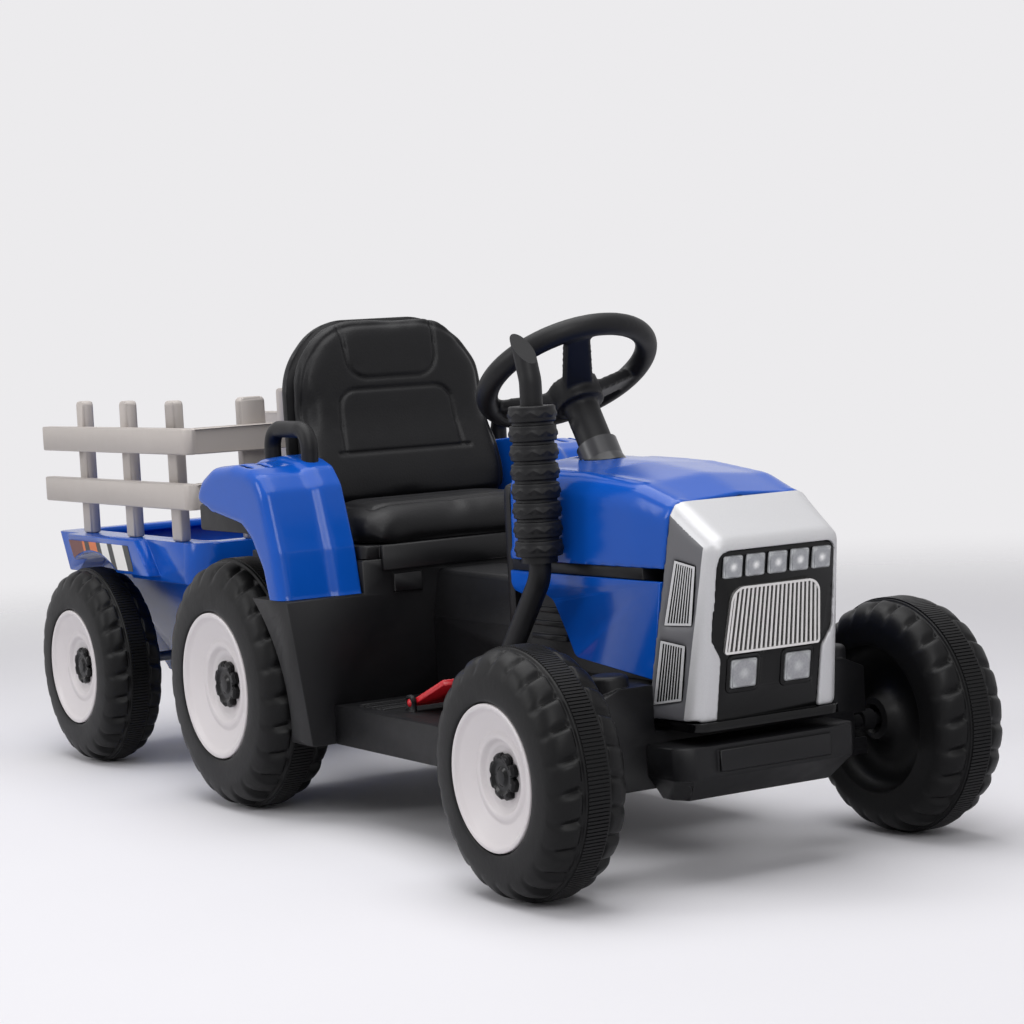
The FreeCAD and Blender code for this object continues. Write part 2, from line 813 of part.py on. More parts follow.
def front_axle_beam():
    """Channel-shaped axle housing, open to the rear, with kingpin caps on its ends."""
    front = front_x + beam_front
    rear = front_x - beam_rear
    outer = [(beam_half, beam_bottom), (beam_half, beam_top - beam_slope_drop),
             (beam_half - beam_slope_run, beam_top)]
    body = front_slab(both_sides(outer), rear, front)
    room = [(beam_half + overrun, beam_bottom + beam_wall),
            (beam_half + overrun, beam_top - beam_slope_drop - beam_wall),
            (beam_half - beam_slope_run, beam_top - beam_wall)]
    hollow = front_slab(both_sides(room), rear - overrun, front - beam_wall)
    step_back = front - beam_waist_depth
    step = block(step_back, front + overrun, -beam_waist_half, beam_waist_half,
                 beam_waist_bottom, beam_top + overrun)
    inner_step = block(step_back - beam_wall, front + overrun, -beam_waist_half - beam_wall,
                       beam_waist_half + beam_wall, beam_waist_bottom - beam_wall, beam_top + overrun)
    notch = block(rear - overrun, rear + crank_notch_depth, -crank_notch_half, crank_notch_half,
                  beam_top - beam_wall - overrun, beam_top + overrun)
    window = block(front - beam_wall - overrun, front + overrun, beam_half - spindle_notch_run, beam_half + overrun,
                   front_tyre_radius - spindle_notch_half, front_tyre_radius + spindle_notch_half)
    beam = body.cut(step).cut([hollow.cut(inner_step), notch, window, mirrored(window)])
    caps, bores = [], []
    for side in (-1, 1):
        foot = V(front_x, side * kingpin_half, kingpin_cap_bottom)
        profile = [(0, 0), (kingpin_cap_top - kingpin_cap_bottom, 0),
                   (kingpin_cap_top - kingpin_cap_bottom, kingpin_cap_radius - kingpin_cap_crown / 2),
                   (kingpin_cap_top - kingpin_cap_bottom - kingpin_cap_crown / 2, kingpin_cap_radius),
                   (0, kingpin_cap_radius)]
        caps.append(spun(profile, foot, Z_AXIS))
        low = V(front_x, side * kingpin_half, beam_bottom - overrun)
        high = V(front_x, side * kingpin_half, kingpin_cap_top - beam_wall)
        bores.append(rod(low, high, kingpin_radius + running_gap))
    return fuse(beam, *caps).cut(bores)


def knuckle():
    """Right steering knuckle: barrel with pegs, spindle, collar and slotted steering arm; its nut beside it."""
    x, y = front_x, -kingpin_half
    low = beam_bottom + beam_wall + part_gap
    high = kingpin_cap_bottom - part_gap
    barrel = rod(V(x, y, low), V(x, y, high), knuckle_radius)
    pegs = rod(V(x, y, beam_bottom), V(x, y, kingpin_cap_top - beam_wall - part_gap), kingpin_radius)
    tip = -front_wheel_outer + front_tyre_width * axle_end_share
    spindle = rod(V(x, y, front_tyre_radius), V(x, tip, front_tyre_radius), axle_radius)
    stop = -front_wheel_outer + front_tyre_width + part_gap
    collar = rod(V(x, stop, front_tyre_radius), V(x, stop + collar_length, front_tyre_radius), collar_radius)
    arm = block(x - steer_arm_length, x, y - steer_arm_half, y + steer_arm_half,
                steer_arm_bottom, steer_arm_bottom + steer_arm_thickness)
    half = rod_pin_radius + rod_pin_play
    slot = [(x - steer_slot_outer, y - half), (x - steer_slot_inner, y - half),
            (x - steer_slot_inner, y + half), (x - steer_slot_outer, y + half)]
    hole = plan_slab(slot, steer_arm_bottom - overrun, steer_arm_bottom + steer_arm_thickness + overrun)
    body = fuse(barrel, pegs, spindle, collar, arm).cut(hole)
    nut = axle_nut(front_tyre_width, front_wheel_outer)
    nut.translate(V(x, 0, front_tyre_radius))
    return Part.makeCompound([body, nut])


def tie_rod():
    """Flat rod between the steering arms, with a pin over each slot and a slotted plate for the crank finger."""
    x = front_x - rod_offset
    low = steer_arm_bottom + steer_arm_thickness + part_gap * 2
    high = low + rod_thickness
    reach = kingpin_half + rod_overhang
    bar = plan_slab([(x - rod_half_width, -reach), (x + rod_half_width, -reach),
                     (x + rod_half_width, reach), (x - rod_half_width, reach)], low, high, rod_corner)
    plate = plan_slab([(x - rod_plate_rear, -rod_plate_half), (x, -rod_plate_half), (x, rod_plate_half),
                       (x - rod_plate_rear, rod_plate_half)], low, high, [rod_half_width, 0, 0, rod_half_width])
    pins = [rod(V(x, side * kingpin_half, steer_arm_bottom + part_gap), V(x, side * kingpin_half, low),
                rod_pin_radius) for side in (-1, 1)]
    half = finger_radius + finger_slot_play
    slot = block(x - finger_slot_rear, x + finger_slot_front, -half, half, low - overrun, high + overrun)
    return fuse(bar, plate, *pins).cut(slot)


def along(distance):
    """Point on the steering column, measured down from the wheel's middle."""
    return steering_middle + column_dir * distance


def steering_wheel():
    """Grip ring, three spokes, dished hub and the stem with its clamp screw."""
    middle = along(grip_drop)
    face = grip_drop + hub_dish
    ring = Part.makeTorus(steering_radius, grip_radius, middle, column_dir)
    hub = rod(along(face), along(face + hub_height), hub_radius)
    stem = rod(along(face), along(stem_end), stem_radius)
    forward = column_side * -1
    left = Y_AXIS
    spokes = []
    drop = face + hub_height / 2
    for i in range(spoke_count):
        angle = math.radians(spoke_turn + 360 * i / spoke_count)
        out = forward * math.cos(angle) + left * math.sin(angle)
        across = column_dir.cross(out)
        half = across * (spoke_width / 2)
        root = along(drop) + out * (hub_radius / 2) - column_dir * (spoke_thickness / 2)
        tip = middle + out * steering_radius - column_dir * (spoke_thickness / 2)
        corners = [root - half, tip - half * spoke_tip_share, tip + half * spoke_tip_share, root + half]
        spoke = Part.Face(Part.makePolygon(corners + corners[:1]))
        spokes.append(spoke.extrude(column_dir * spoke_thickness))
    screw_out = Y_AXIS * -1
    at = along(stem_screw_at) + screw_out * (stem_radius - stem_screw_height)
    screw = rod(at, at + screw_out * (stem_screw_height * 2), stem_screw_radius)
    bore = rod(along(shaft_top), along(stem_end + overrun), shaft_radius)
    return fuse(ring, hub, stem, screw, *spokes).cut(bore)


def steering_shaft():
    """Steel shaft from the wheel to the front axle, with a crank web and finger at its foot."""
    shaft = rod(along(shaft_top), along(shaft_end), shaft_radius)
    half = Y_AXIS * crank_half
    start = along(shaft_end - crank_thickness) - column_side * crank_half
    end = along(shaft_end - crank_thickness) + column_side * (crank_length + crank_half)
    corners = [start - half, end - half, end + half, start + half]
    web = Part.Face(Part.makePolygon(corners + corners[:1])).extrude(column_dir * crank_thickness)
    offset = column_side * crank_length
    finger = rod(along(shaft_end - crank_thickness) + offset, along(finger_end) + offset, finger_radius)
    return fuse(shaft, web, finger)


def column_collar(bonnet_body):
    """Flared collar on the bonnet, round the stem."""
    bore = stem_radius + running_gap
    profile = [(0, bore), (0, column_collar_radius), ((collar_bottom - collar_top) / 2, column_collar_radius),
               (collar_bottom - collar_top, column_collar_flare), (collar_bottom - collar_top, bore)]
    return spun(profile, along(collar_top), column_dir).cut(bonnet_body)


# Bonnet, bay and nose.

def nose_rear_at(z, gap=0):
    """x of the nose's sloping rear edge at a height."""
    share = (z - nose_low_rear[1]) / (nose_top_rear[1] - nose_low_rear[1])
    return nose_low_rear[0] + (nose_top_rear[0] - nose_low_rear[0]) * share - gap


def nose_keep_out():
    """Everything ahead of the nose's rear edge."""
    low, high = nose_low_rear[1] - bay_bottom, nose_top_rear[1] + bay_bottom
    outline = [(nose_rear_at(low, seam_gap), low), (nose_rear_at(high, seam_gap), high),
               (nose_top_front[0] + bay_bottom, high), (nose_top_front[0] + bay_bottom, low)]
    return side_slab(outline, -bay_rear, bay_rear)


def bonnet_section(index, shrink):
    """Section of the bonnet at one station, drawn in by a wall."""
    x = bonnet_rear + (bonnet_front - bonnet_rear) * bonnet_station_shares[index]
    half = bonnet_half * bonnet_half_shares[index] - shrink
    low = bay_top - (overrun if shrink else 0)
    high = bay_top + bonnet_height * bonnet_height_shares[index] - shrink
    points = [(half * a, low + (high - low) * b) for a, b in bonnet_section_shares]
    points = both_sides(points + [(0, high)])
    count = len(points)
    return loop(points, in_front(x), [0] + [bonnet_round] * (count - 2) + [0])


def bonnet_outside(shrink=0):
    """The bonnet's outer form as a solid."""
    sections = [bonnet_section(i, shrink) for i in range(len(bonnet_station_shares))]
    return Part.makeLoft(sections, True, True)


def bonnet():
    """Thin bonnet, swept at the rear, cut to the nose, with a hole for the column."""
    shell = bonnet_outside().cut(bonnet_outside(bonnet_wall)).cut(nose_keep_out())
    hole = rod(along(collar_top), along(collar_bottom + stem_radius), stem_radius + running_gap + part_gap)
    wide = bonnet_half + overrun
    sweep = [(bonnet_rear - overrun, bonnet_sweep_half), (bonnet_rear, bonnet_sweep_half),
             (bonnet_rear + bonnet_rear_sweep, wide), (bonnet_rear - overrun, wide)]
    cut = plan_slab(sweep, bay_top - overrun, bay_top + bonnet_height + overrun)
    return shell.cut([hole, cut, mirrored(cut)])


def bay_outline(widen=0, trim=0):
    """Plan outline of the bay frame, wider towards the rear."""
    return [(bay_rear + trim, -bay_rear_half - widen), (bay_front - trim, -bay_front_half - widen),
            (bay_front - trim, bay_front_half + widen), (bay_rear + trim, bay_rear_half + widen)]


def bay_frame():
    """Black frame under the bonnet: walls, floor with the lower shaft bearing, and the flange that shows."""
    walls = plan_slab(bay_outline(), bay_bottom, bay_top)
    flange = plan_slab(bay_outline(stripe_overhang), bay_top - stripe_height, bay_top)
    room = plan_slab(bay_outline(-bay_wall, bay_wall), bay_bottom + bay_floor, bay_top + overrun)
    boss_end = (steering_z - bay_bottom) / math.cos(tilt)
    boss = rod(along(shaft_boss_top), along(boss_end + shaft_boss_radius), shaft_boss_radius)
    boss = boss.cut(block(bay_rear, bay_front, -bay_rear_half, bay_rear_half, 0, bay_bottom))
    ribs = []
    for i in range(bay_rib_count):
        low = bay_rib_low + bay_rib_pitch * i
        ribs.append(block(bay_rib_rear, bay_rib_front, -bay_rear_half - bay_rib_depth / 2,
                          bay_rear_half + bay_rib_depth / 2, low, low + bay_rib_height).cut(room))
    bore = rod(along(shaft_boss_top - overrun), along(boss_end + stem_end), shaft_radius + running_gap)
    frame = fuse(walls, flange, *ribs).cut(room)
    return fuse(frame, boss, *nose_brackets()).cut(bore)


def nose_brackets():
    """Two brackets ahead of the bay that fit inside the nose's side walls."""
    def half(z):
        share = (z - nose_low_front[1]) / (nose_top_rear[1] - nose_low_front[1])
        return nose_low_half + (nose_top_half - nose_low_half) * share - nose_edge
    rear, front = bay_front - bay_wall, bay_front + nose_bracket_reach
    outline = [(rear, nose_bracket_low), (front, nose_bracket_low), (front, nose_bracket_top),
               (rear, nose_bracket_top)]
    full = wedge(outline, nose_bracket_low, half(nose_bracket_low), nose_bracket_top, half(nose_bracket_top))
    gap = block(rear - overrun, front + overrun, -nose_bracket_inner, nose_bracket_inner,
                nose_bracket_low - overrun, nose_bracket_top + overrun)
    return full.cut(gap).Solids


def side_panel():
    """Right lower panel of the bonnet, cut away at the rear over the exhaust."""
    top = bay_top - stripe_height - seam_gap
    low = beam_top + seam_gap
    front = nose_rear_at(top) + overrun
    edge = spread(panel_edge_shares, panel_rear, front, low, top)
    outline = [(panel_rear, top), (front, top), (front, low)] + edge
    skin = side_slab(outline, -panel_thickness, 0, [0, 0, 0] + [panel_round] * len(edge))
    lean = math.degrees(math.atan2(bay_rear_half - bay_front_half, bay_front - bay_rear))
    skin.rotate(V(bay_rear, 0, 0), Z_AXIS, lean)
    skin.translate(V(0, -bay_rear_half - bay_rib_depth / 2, 0))
    spacer = bay_rib_depth / 2
    pad = side_slab(inset(outline, panel_thickness), -panel_thickness, 0)
    pad.rotate(V(bay_rear, 0, 0), Z_AXIS, lean)
    pad.translate(V(0, -bay_rear_half + panel_thickness - spacer, 0))
    frame = plan_slab(bay_outline(), bay_bottom, bay_top)
    rib_top = bay_rib_low + bay_rib_pitch * bay_rib_count
    ribs = block(bay_rib_rear - part_gap, bay_rib_front + part_gap, -bay_rear_half - bay_rib_depth / 2, 0,
                 bay_rib_low - part_gap, rib_top)
    return fuse(skin, pad).cut([frame, ribs, nose_keep_out()] + nose_brackets())


def nose_outline(shrink=0):
    """Corners of the nose's side outline."""
    return inset([nose_low_rear, nose_low_front, nose_top_front, nose_top_rear], shrink)


def nose_body(shrink=0):
    """The nose as a solid, narrower towards the top."""
    return wedge(nose_outline(shrink), nose_low_front[1], nose_low_half - shrink,
                 nose_top_rear[1], nose_top_half - shrink)


def face_angle():
    """Lean of the nose's front from upright, in degrees."""
    run = nose_top_front[0] - nose_low_front[0]
    return math.degrees(math.atan2(run, nose_top_front[1] - nose_low_front[1]))


def on_face(shape):
    """Moves what was drawn against x = 0 onto the sloping front of the nose."""
    shape.rotate(V(0, 0, 0), Y_AXIS, face_angle())
    shape.translate(V(nose_low_front[0], 0, nose_low_front[1]))
    return shape


def face_outline(grow=0):
    """Outline of the opening in the nose, as y and height up the face."""
    half = [(face_low_half, face_low), (face_low_half, face_waist_bottom), (face_mid_half, face_waist_top),
            (face_top_half, face_top)]
    return inset(both_sides(half), -grow)


def face_rounds():
    """Corner radii of the face opening: square where it runs out below."""
    return [0] + [face_round] * 6 + [0]


def vent_outline(shares):
    """Corners of one side grille in x and z."""
    points = []
    for along_share, up_share in shares:
        z = nose_low_rear[1] + (nose_top_front[1] - nose_low_rear[1]) * up_share
        front_share = (z - nose_low_front[1]) / (nose_top_front[1] - nose_low_front[1])
        front = nose_low_front[0] + (nose_top_front[0] - nose_low_front[0]) * front_share
        rear = nose_rear_at(z)
        points.append((rear + (front - rear) * along_share, z))
    return points


def side_layer(outline, depth, proud=0):
    """Outline as a layer in the nose's right wall, from a depth to the skin."""
    column = side_slab(outline, -nose_low_half * 2, 0)
    return column.common(nose_body(-proud)).cut(nose_body(depth))


def nose_shell():
    """Silver nose: rounded shell with the face opening and pockets for the side grilles."""
    body = nose_body()
    corners = [e for e in body.Edges if e.BoundBox.XMax > nose_top_rear[0] + nose_round
               or (e.BoundBox.XMax > nose_low_front[0] and e.BoundBox.ZMax > nose_top_front[1])]
    corners = [e for e in corners if e.BoundBox.ZMax > nose_low_front[1] + nose_round]
    body = body.makeFillet(nose_round, corners)
    room = nose_body(nose_wall)
    low = nose_low_front[1]
    floor = wedge([(nose_low_rear[0], low - overrun), (nose_low_front[0] - nose_wall, low - overrun),
                   (nose_low_front[0] - nose_wall, low + nose_wall * 2), (nose_low_rear[0], low + nose_wall * 2)],
                  low - overrun, nose_low_half - nose_edge, low + nose_wall * 2, nose_low_half - nose_edge)
    back = wedge([(nose_low_rear[0] - nose_wall * 2, low), (nose_low_rear[0] + nose_wall * 2, low),
                  (nose_top_rear[0] + nose_wall * 2, nose_top_rear[1] - nose_wall * 4),
                  (nose_top_rear[0] - nose_wall * 2, nose_top_rear[1] - nose_wall * 4)],
                 low, nose_low_half - nose_edge, nose_top_rear[1], nose_top_half - nose_edge)
    mouth = on_face(front_slab(face_outline(), -nose_wall * 2, overrun, face_rounds()))
    cuts = [room, floor, back, mouth]
    for shares in (vent_low_shares, vent_top_shares):
        pocket = side_layer(inset(vent_outline(shares), -vent_gap), vent_depth, overrun)
        cuts += [pocket, mirrored(pocket)]
    return body.cut(cuts)


def grille_panel():
    """Black face panel behind the nose's opening, with raised fog lamp frames and the lip below the nose."""
    plug = front_slab(face_outline(-seam_gap), -nose_wall, -panel_recess, face_rounds())
    flange_outline = face_outline(face_flange)
    flange = front_slab(flange_outline, -nose_wall - face_flange, -nose_wall, face_rounds())
    frames = []
    for side in (-1, 1):
        ring = fog_outline(side, fog_frame)
        frames.append(front_slab(ring, -nose_wall, -panel_recess + fog_frame_proud, lamp_round * 2))
    gaps = [front_slab(fog_outline(side, part_gap), -panel_recess, overrun, lamp_round) for side in (-1, 1)]
    panel = on_face(fuse(plug, flange, *frames).cut(gaps))
    low = nose_low_front[1] - lip_height
    front = nose_low_front[0]
    lip = [(nose_low_rear[0], -nose_low_half), (front + nose_wall, -nose_low_half),
           (front + nose_wall, nose_low_half), (nose_low_rear[0], nose_low_half)]
    sill = plan_slab(lip, low, nose_low_front[1], [0, nose_round, nose_round, 0])
    post = block(front - nose_wall * 3, front - nose_wall * 2, -face_low_half, face_low_half,
                 low, nose_low_front[1] + face_low + nose_wall * 2)
    return fuse(panel, sill, post).cut(nose_shell())


def fog_outline(side, grow=0):
    """Square of one lower lamp on the face."""
    half = fog_width / 2 + grow
    middle = side * fog_middle
    return [(middle - half, fog_low - grow), (middle + half, fog_low - grow),
            (middle + half, fog_low + fog_height + grow), (middle - half, fog_low + fog_height + grow)]


def lamp_lenses():
    """Five square lenses above the grille and two larger ones below it."""
    lenses = []
    for i in range(lamp_count):
        middle = (i - (lamp_count - 1) / 2) * lamp_pitch
        outline = [(middle - lamp_width / 2, lamp_low), (middle + lamp_width / 2, lamp_low),
                   (middle + lamp_width / 2, lamp_low + lamp_height), (middle - lamp_width / 2, lamp_low + lamp_height)]
        lenses.append(outline)
    lenses += [fog_outline(-1), fog_outline(1)]
    solids = [on_face(front_slab(o, -panel_recess, -panel_recess + lamp_proud, lamp_round)) for o in lenses]
    return Part.makeCompound(solids)


def grille_half(height):
    """Half width of the radiator grille at a height up the face."""
    share = (height - grille_low) / (grille_top - grille_low)
    return grille_low_half + (grille_top_half - grille_low_half) * share


def radiator_grille():
    """Chromed frame, rounded at the top, with upright bars that fan with it."""
    outline = [(-grille_low_half, grille_low), (grille_low_half, grille_low),
               (grille_top_half, grille_top), (-grille_top_half, grille_top)]
    rounds = [lamp_round, lamp_round, grille_round, grille_round]
    inner_rounds = [lamp_round / 2, lamp_round / 2, grille_round - grille_frame, grille_round - grille_frame]
    back, face = -panel_recess, -panel_recess + grille_proud
    full = front_slab(outline, back, face, rounds)
    ring = full.cut(front_slab(inset(outline, grille_frame), back - overrun, face + overrun, inner_rounds))
    bars = []
    for i in range(1, grille_bar_count + 1):
        share = 2 * i / (grille_bar_count + 1) - 1
        low, top = grille_low_half * share, grille_top_half * share
        bar = [(low - grille_bar / 2, grille_low), (low + grille_bar / 2, grille_low),
               (top + grille_bar / 2, grille_top), (top - grille_bar / 2, grille_top)]
        bars.append(front_slab(bar, back, face - grille_frame / 3).common(full))
    return on_face(fuse(ring, *bars))


def side_grilles():
    """Two inserts in each side of the nose: a plate with a raised frame and upright bars."""
    made = []
    for shares in (vent_low_shares, vent_top_shares):
        outline = vent_outline(shares)
        plate = side_layer(outline, vent_depth).cut(side_layer(outline, vent_depth / 2))
        frame = side_layer(outline, vent_depth).cut(side_slab(inset(outline, vent_frame), -nose_low_half * 2, 0))
        bars = []
        (x0, z0), (x1, z1), (x2, z2), (x3, z3) = outline
        for i in range(1, vent_bar_count + 1):
            share = i / (vent_bar_count + 1)
            low = (x0 + (x1 - x0) * share, z0 + (z1 - z0) * share)
            top = (x3 + (x2 - x3) * share, z3 + (z2 - z3) * share)
            bar = [(low[0] - vent_bar, low[1]), (low[0] + vent_bar, low[1]),
                   (top[0] + vent_bar, top[1]), (top[0] - vent_bar, top[1])]
            bars.append(side_layer(bar, vent_depth).common(side_layer(outline, vent_depth)))
        made.append(fuse(plate, frame, *bars))
    return Part.makeCompound(made + [mirrored(m) for m in made])


def front_bumper():
    """Wide bumper, cut in below, with a raised middle plate."""
    rear = front_x + beam_front
    def level(z, front, half, face_half):
        half_outline = [(rear, half), (front - bumper_corner_run, half), (front, face_half)]
        points = half_outline + [(x, -y) for x, y in reversed(half_outline)]
        return loop(points, in_plan(z))
    body = Part.makeLoft([level(bumper_bottom, bumper_front - bumper_undercut, bumper_low_half,
                                bumper_low_half - bumper_corner_run / 2),
                          level(bumper_knee, bumper_front, bumper_half, bumper_face_half),
                          level(bumper_top, bumper_front, bumper_half, bumper_face_half)], True, True)
    plate = block(bumper_front - overrun, bumper_front + bumper_plate, -bumper_plate_half, bumper_plate_half,
                  bumper_knee + bumper_plate_margin, bumper_top - bumper_plate_margin)
    return fuse(body, plate)


# Floor, tunnel and dash.

def floor_pan():
    """Running boards and spine, hollow below, with tread ribs and the ears of the foot pedal."""
    outline = [(floor_rear, -board_half), (board_front, -board_half), (board_front, board_half),
               (floor_rear, board_half)]
    rounds = [0, board_edge_round, board_edge_round, 0]
    boards = plan_slab(outline, board_bottom, board_top, rounds)
    room = plan_slab(inset(outline, board_wall), board_bottom - overrun, board_top - board_wall, rounds)
    beam_back = front_x - beam_rear
    spine = block(board_front - board_wall, spine_step, -spine_half, spine_half, board_bottom, board_top)
    nose = block(spine_step, beam_back, -spine_half, spine_half, board_bottom, spine_low_top)
    ribs = []
    for i in range(tread_rib_count):
        x = tread_rib_first + tread_rib_pitch * i
        strip = block(x, x + tread_rib_width, tread_rib_inner, board_half - board_edge_round,
                      board_top, board_top + tread_rib_height)
        ribs.append(strip)
        if x + tread_rib_width < pedal_x - pedal_ear_half * 3:
            ribs.append(mirrored(strip))
    ears = []
    for side in (-1, 1):
        near = pedal_y + side * (pedal_half + pedal_ear_gap)
        far = near + side * pedal_ear
        ear = side_slab([(pedal_x - pedal_ear_half, board_top), (pedal_x + pedal_ear_half, board_top),
                         (pedal_x + pedal_ear_half, pedal_z + pedal_ear_half),
                         (pedal_x - pedal_ear_half, pedal_z + pedal_ear_half)],
                        min(near, far), max(near, far), [0, 0, pedal_ear_round, pedal_ear_round])
        ears.append(ear)
    bore = rod(V(pedal_x, pedal_y - board_half, pedal_z), V(pedal_x, pedal_y + board_half, pedal_z),
               pedal_pin_radius + running_gap)
    return fuse(boards.cut(room), spine, nose, *ribs, *ears).cut(bore)


def foot_pedal():
    """Sloping pedal on a cross pin, with grip ribs."""
    plate = block(0, pedal_length, -pedal_half, pedal_half, -pedal_thickness / 2, pedal_thickness / 2)
    ribs = []
    for i in range(1, pedal_rib_count + 1):
        x = pedal_length * i / (pedal_rib_count + 1)
        ribs.append(block(x, x + pedal_rib, -pedal_half + pedal_rib, pedal_half - pedal_rib,
                          pedal_thickness / 2, pedal_thickness / 2 + pedal_rib_height))
    plate = fuse(plate, *ribs)
    plate.rotate(V(0, 0, 0), Y_AXIS, -pedal_rise)
    reach = pedal_half + pedal_ear_gap + pedal_ear
    pin = rod(V(0, -reach, 0), V(0, reach, 0), pedal_pin_radius)
    pedal = fuse(plate, pin)
    pedal.translate(V(pedal_x, pedal_y, pedal_z))
    return pedal


def centre_tunnel():
    """Hollow tunnel from the seat box to the dash, low under the bay."""
    half = [(tunnel_half, board_top), (tunnel_half, tunnel_shoulder), (tunnel_top_half, tunnel_top)]
    high = front_slab(both_sides(half), floor_rear, tunnel_step, [0, bay_wall * 2, bay_wall * 2,
                                                                 bay_wall * 2, bay_wall * 2, 0])
    low = block(tunnel_step, spine_step, -tunnel_half, tunnel_half, board_top, bay_bottom)
    inner = [(tunnel_half - tunnel_wall, board_top - overrun), (tunnel_half - tunnel_wall, tunnel_shoulder),
             (tunnel_top_half - tunnel_wall, tunnel_top - tunnel_wall)]
    room = front_slab(both_sides(inner), floor_rear + tunnel_wall, tunnel_step - tunnel_wall)
    under = block(tunnel_step - tunnel_wall - overrun, spine_step - tunnel_wall, -tunnel_half + tunnel_wall,
                  tunnel_half - tunnel_wall, board_top - overrun, bay_bottom - tunnel_wall)
    return fuse(high, low).cut([room, under])


def dash_panel():
    """Dash that closes the rear of the bay, with a button hole and a rocker pocket."""
    half = [(dash_half, dash_low), (dash_half, dash_side_top), (dash_crown_half, dash_crown)]
    rear, front = bay_rear - dash_thickness, bay_rear
    panel = front_slab(both_sides(half), rear, front, [0, panel_round, panel_round, panel_round, panel_round, 0])
    hole = rod(V(rear - overrun, button_y, button_z), V(front + overrun, button_y, button_z),
               button_radius + part_gap / 2)
    wide = rocker_width / 2 + part_gap
    tall = rocker_height / 2 + rocker_room
    pocket = block(rear - overrun, front - bay_wall / 2, rocker_y - wide, rocker_y + wide,
                   rocker_z - tall, rocker_z + tall)
    reach = rocker_width / 2 + rocker_pin_length
    pivot = rod(V(rocker_axis_x(), rocker_y - reach, rocker_z), V(rocker_axis_x(), rocker_y + reach, rocker_z),
                rocker_pin_radius + running_gap)
    return panel.cut([hole, pocket, pivot])


def rocker_axis_x():
    """The rocker's pivot, just inside the dash face."""
    return bay_rear - dash_thickness + rocker_pin_radius + rocker_proud / 2


def start_button():
    """Round push button in the dash."""
    rear = bay_rear - dash_thickness - button_proud
    body = rod(V(rear, button_y, button_z), V(rear + button_length, button_y, button_z), button_radius)
    return body.makeFillet(button_proud / 3, [e for e in body.Edges if e.BoundBox.XMax < rear + running_gap])


def direction_rocker():
    """Rocker switch on cross pins."""
    axis_x = rocker_axis_x()
    rear = bay_rear - dash_thickness - rocker_proud
    dip = rocker_proud / 2
    half = rocker_height / 2
    outline = [(axis_x + rocker_depth / 2, rocker_z - half), (rear, rocker_z - half), (rear + dip, rocker_z),
               (rear, rocker_z + half), (axis_x + rocker_depth / 2, rocker_z + half)]
    body = side_slab(outline, rocker_y - rocker_width / 2, rocker_y + rocker_width / 2)
    reach = rocker_width / 2 + rocker_pin_length - part_gap
    pin = rod(V(axis_x, rocker_y - reach, rocker_z), V(axis_x, rocker_y + reach, rocker_z), rocker_pin_radius)
    return fuse(body, pin)


# Exhaust.

def exhaust_pipe():
    """Bent pipe from the floor to a slanted tip, with a foot flange and a seat for the sleeve."""
    knee = V(exhaust_foot_x, exhaust_y, board_top + exhaust_foot_rise)
    elbow = V(exhaust_x, exhaust_y, sleeve_bottom - sleeve_seat - exhaust_elbow_drop)
    spots = [V(exhaust_foot_x, exhaust_y, board_top), knee, elbow, V(exhaust_x, exhaust_y, exhaust_tip_turn),
             V(exhaust_tip_x, exhaust_y, exhaust_tip_z)]
    pipe = tube(spots, exhaust_radius, [exhaust_bend, exhaust_elbow_bend, exhaust_tip_bend])
    front = exhaust_x + exhaust_radius
    run = (exhaust_tip_z - exhaust_cut_z) * 2
    rise = run * math.tan(math.radians(exhaust_slant))
    slant = [(front + overrun, exhaust_cut_z), (front - run, exhaust_cut_z + rise), (front + run, exhaust_cut_z + rise)]
    pipe = pipe.cut(side_slab(slant, exhaust_y - exhaust_radius * 2, exhaust_y + exhaust_radius * 2))
    flange = Part.makeCylinder(exhaust_flange_radius, exhaust_flange, spots[0], Z_AXIS)
    seat = Part.makeCylinder(sleeve_seat_radius, sleeve_seat, V(exhaust_x, exhaust_y, sleeve_bottom - sleeve_seat),
                             Z_AXIS)
    return fuse(pipe, flange, seat)


def exhaust_sleeve():
    """Ringed sleeve round the upright pipe."""
    bore = exhaust_radius + part_gap / 5
    height = sleeve_top - sleeve_bottom
    pitch = height / sleeve_ring_count
    points = [(0, bore)]
    for i in range(sleeve_ring_count):
        low, high = pitch * i, pitch * (i + 1) - sleeve_groove
        if i == sleeve_ring_count - 1:
            high = height
        points += [(low, sleeve_radius - sleeve_round), (low + sleeve_round, sleeve_radius),
                   (high - sleeve_round, sleeve_radius), (high, sleeve_radius - sleeve_round)]
        if i < sleeve_ring_count - 1:
            points += [(high, sleeve_groove_radius), (high + sleeve_groove, sleeve_groove_radius)]
    points.append((height, bore))
    return spun(points, V(exhaust_x, exhaust_y, sleeve_bottom), Z_AXIS)


# Rear body, fenders and handles.

def tyre_well(gap, outer):
    """Round space for the right rear tyre."""
    return Part.makeCylinder(rear_tyre_radius + gap, outer, V(rear_x, -body_half - outer, rear_tyre_radius), Y_AXIS)


def guard_half(inset_by):
    """Front view of the right wheel guard."""
    return [(-body_half + body_wall, body_bottom - (overrun if inset_by else 0)),
            (-guard_low_half + inset_by, body_bottom - (overrun if inset_by else 0)),
            (-guard_top_half + inset_by, guard_top - inset_by), (-body_half + body_wall, guard_top - inset_by)]


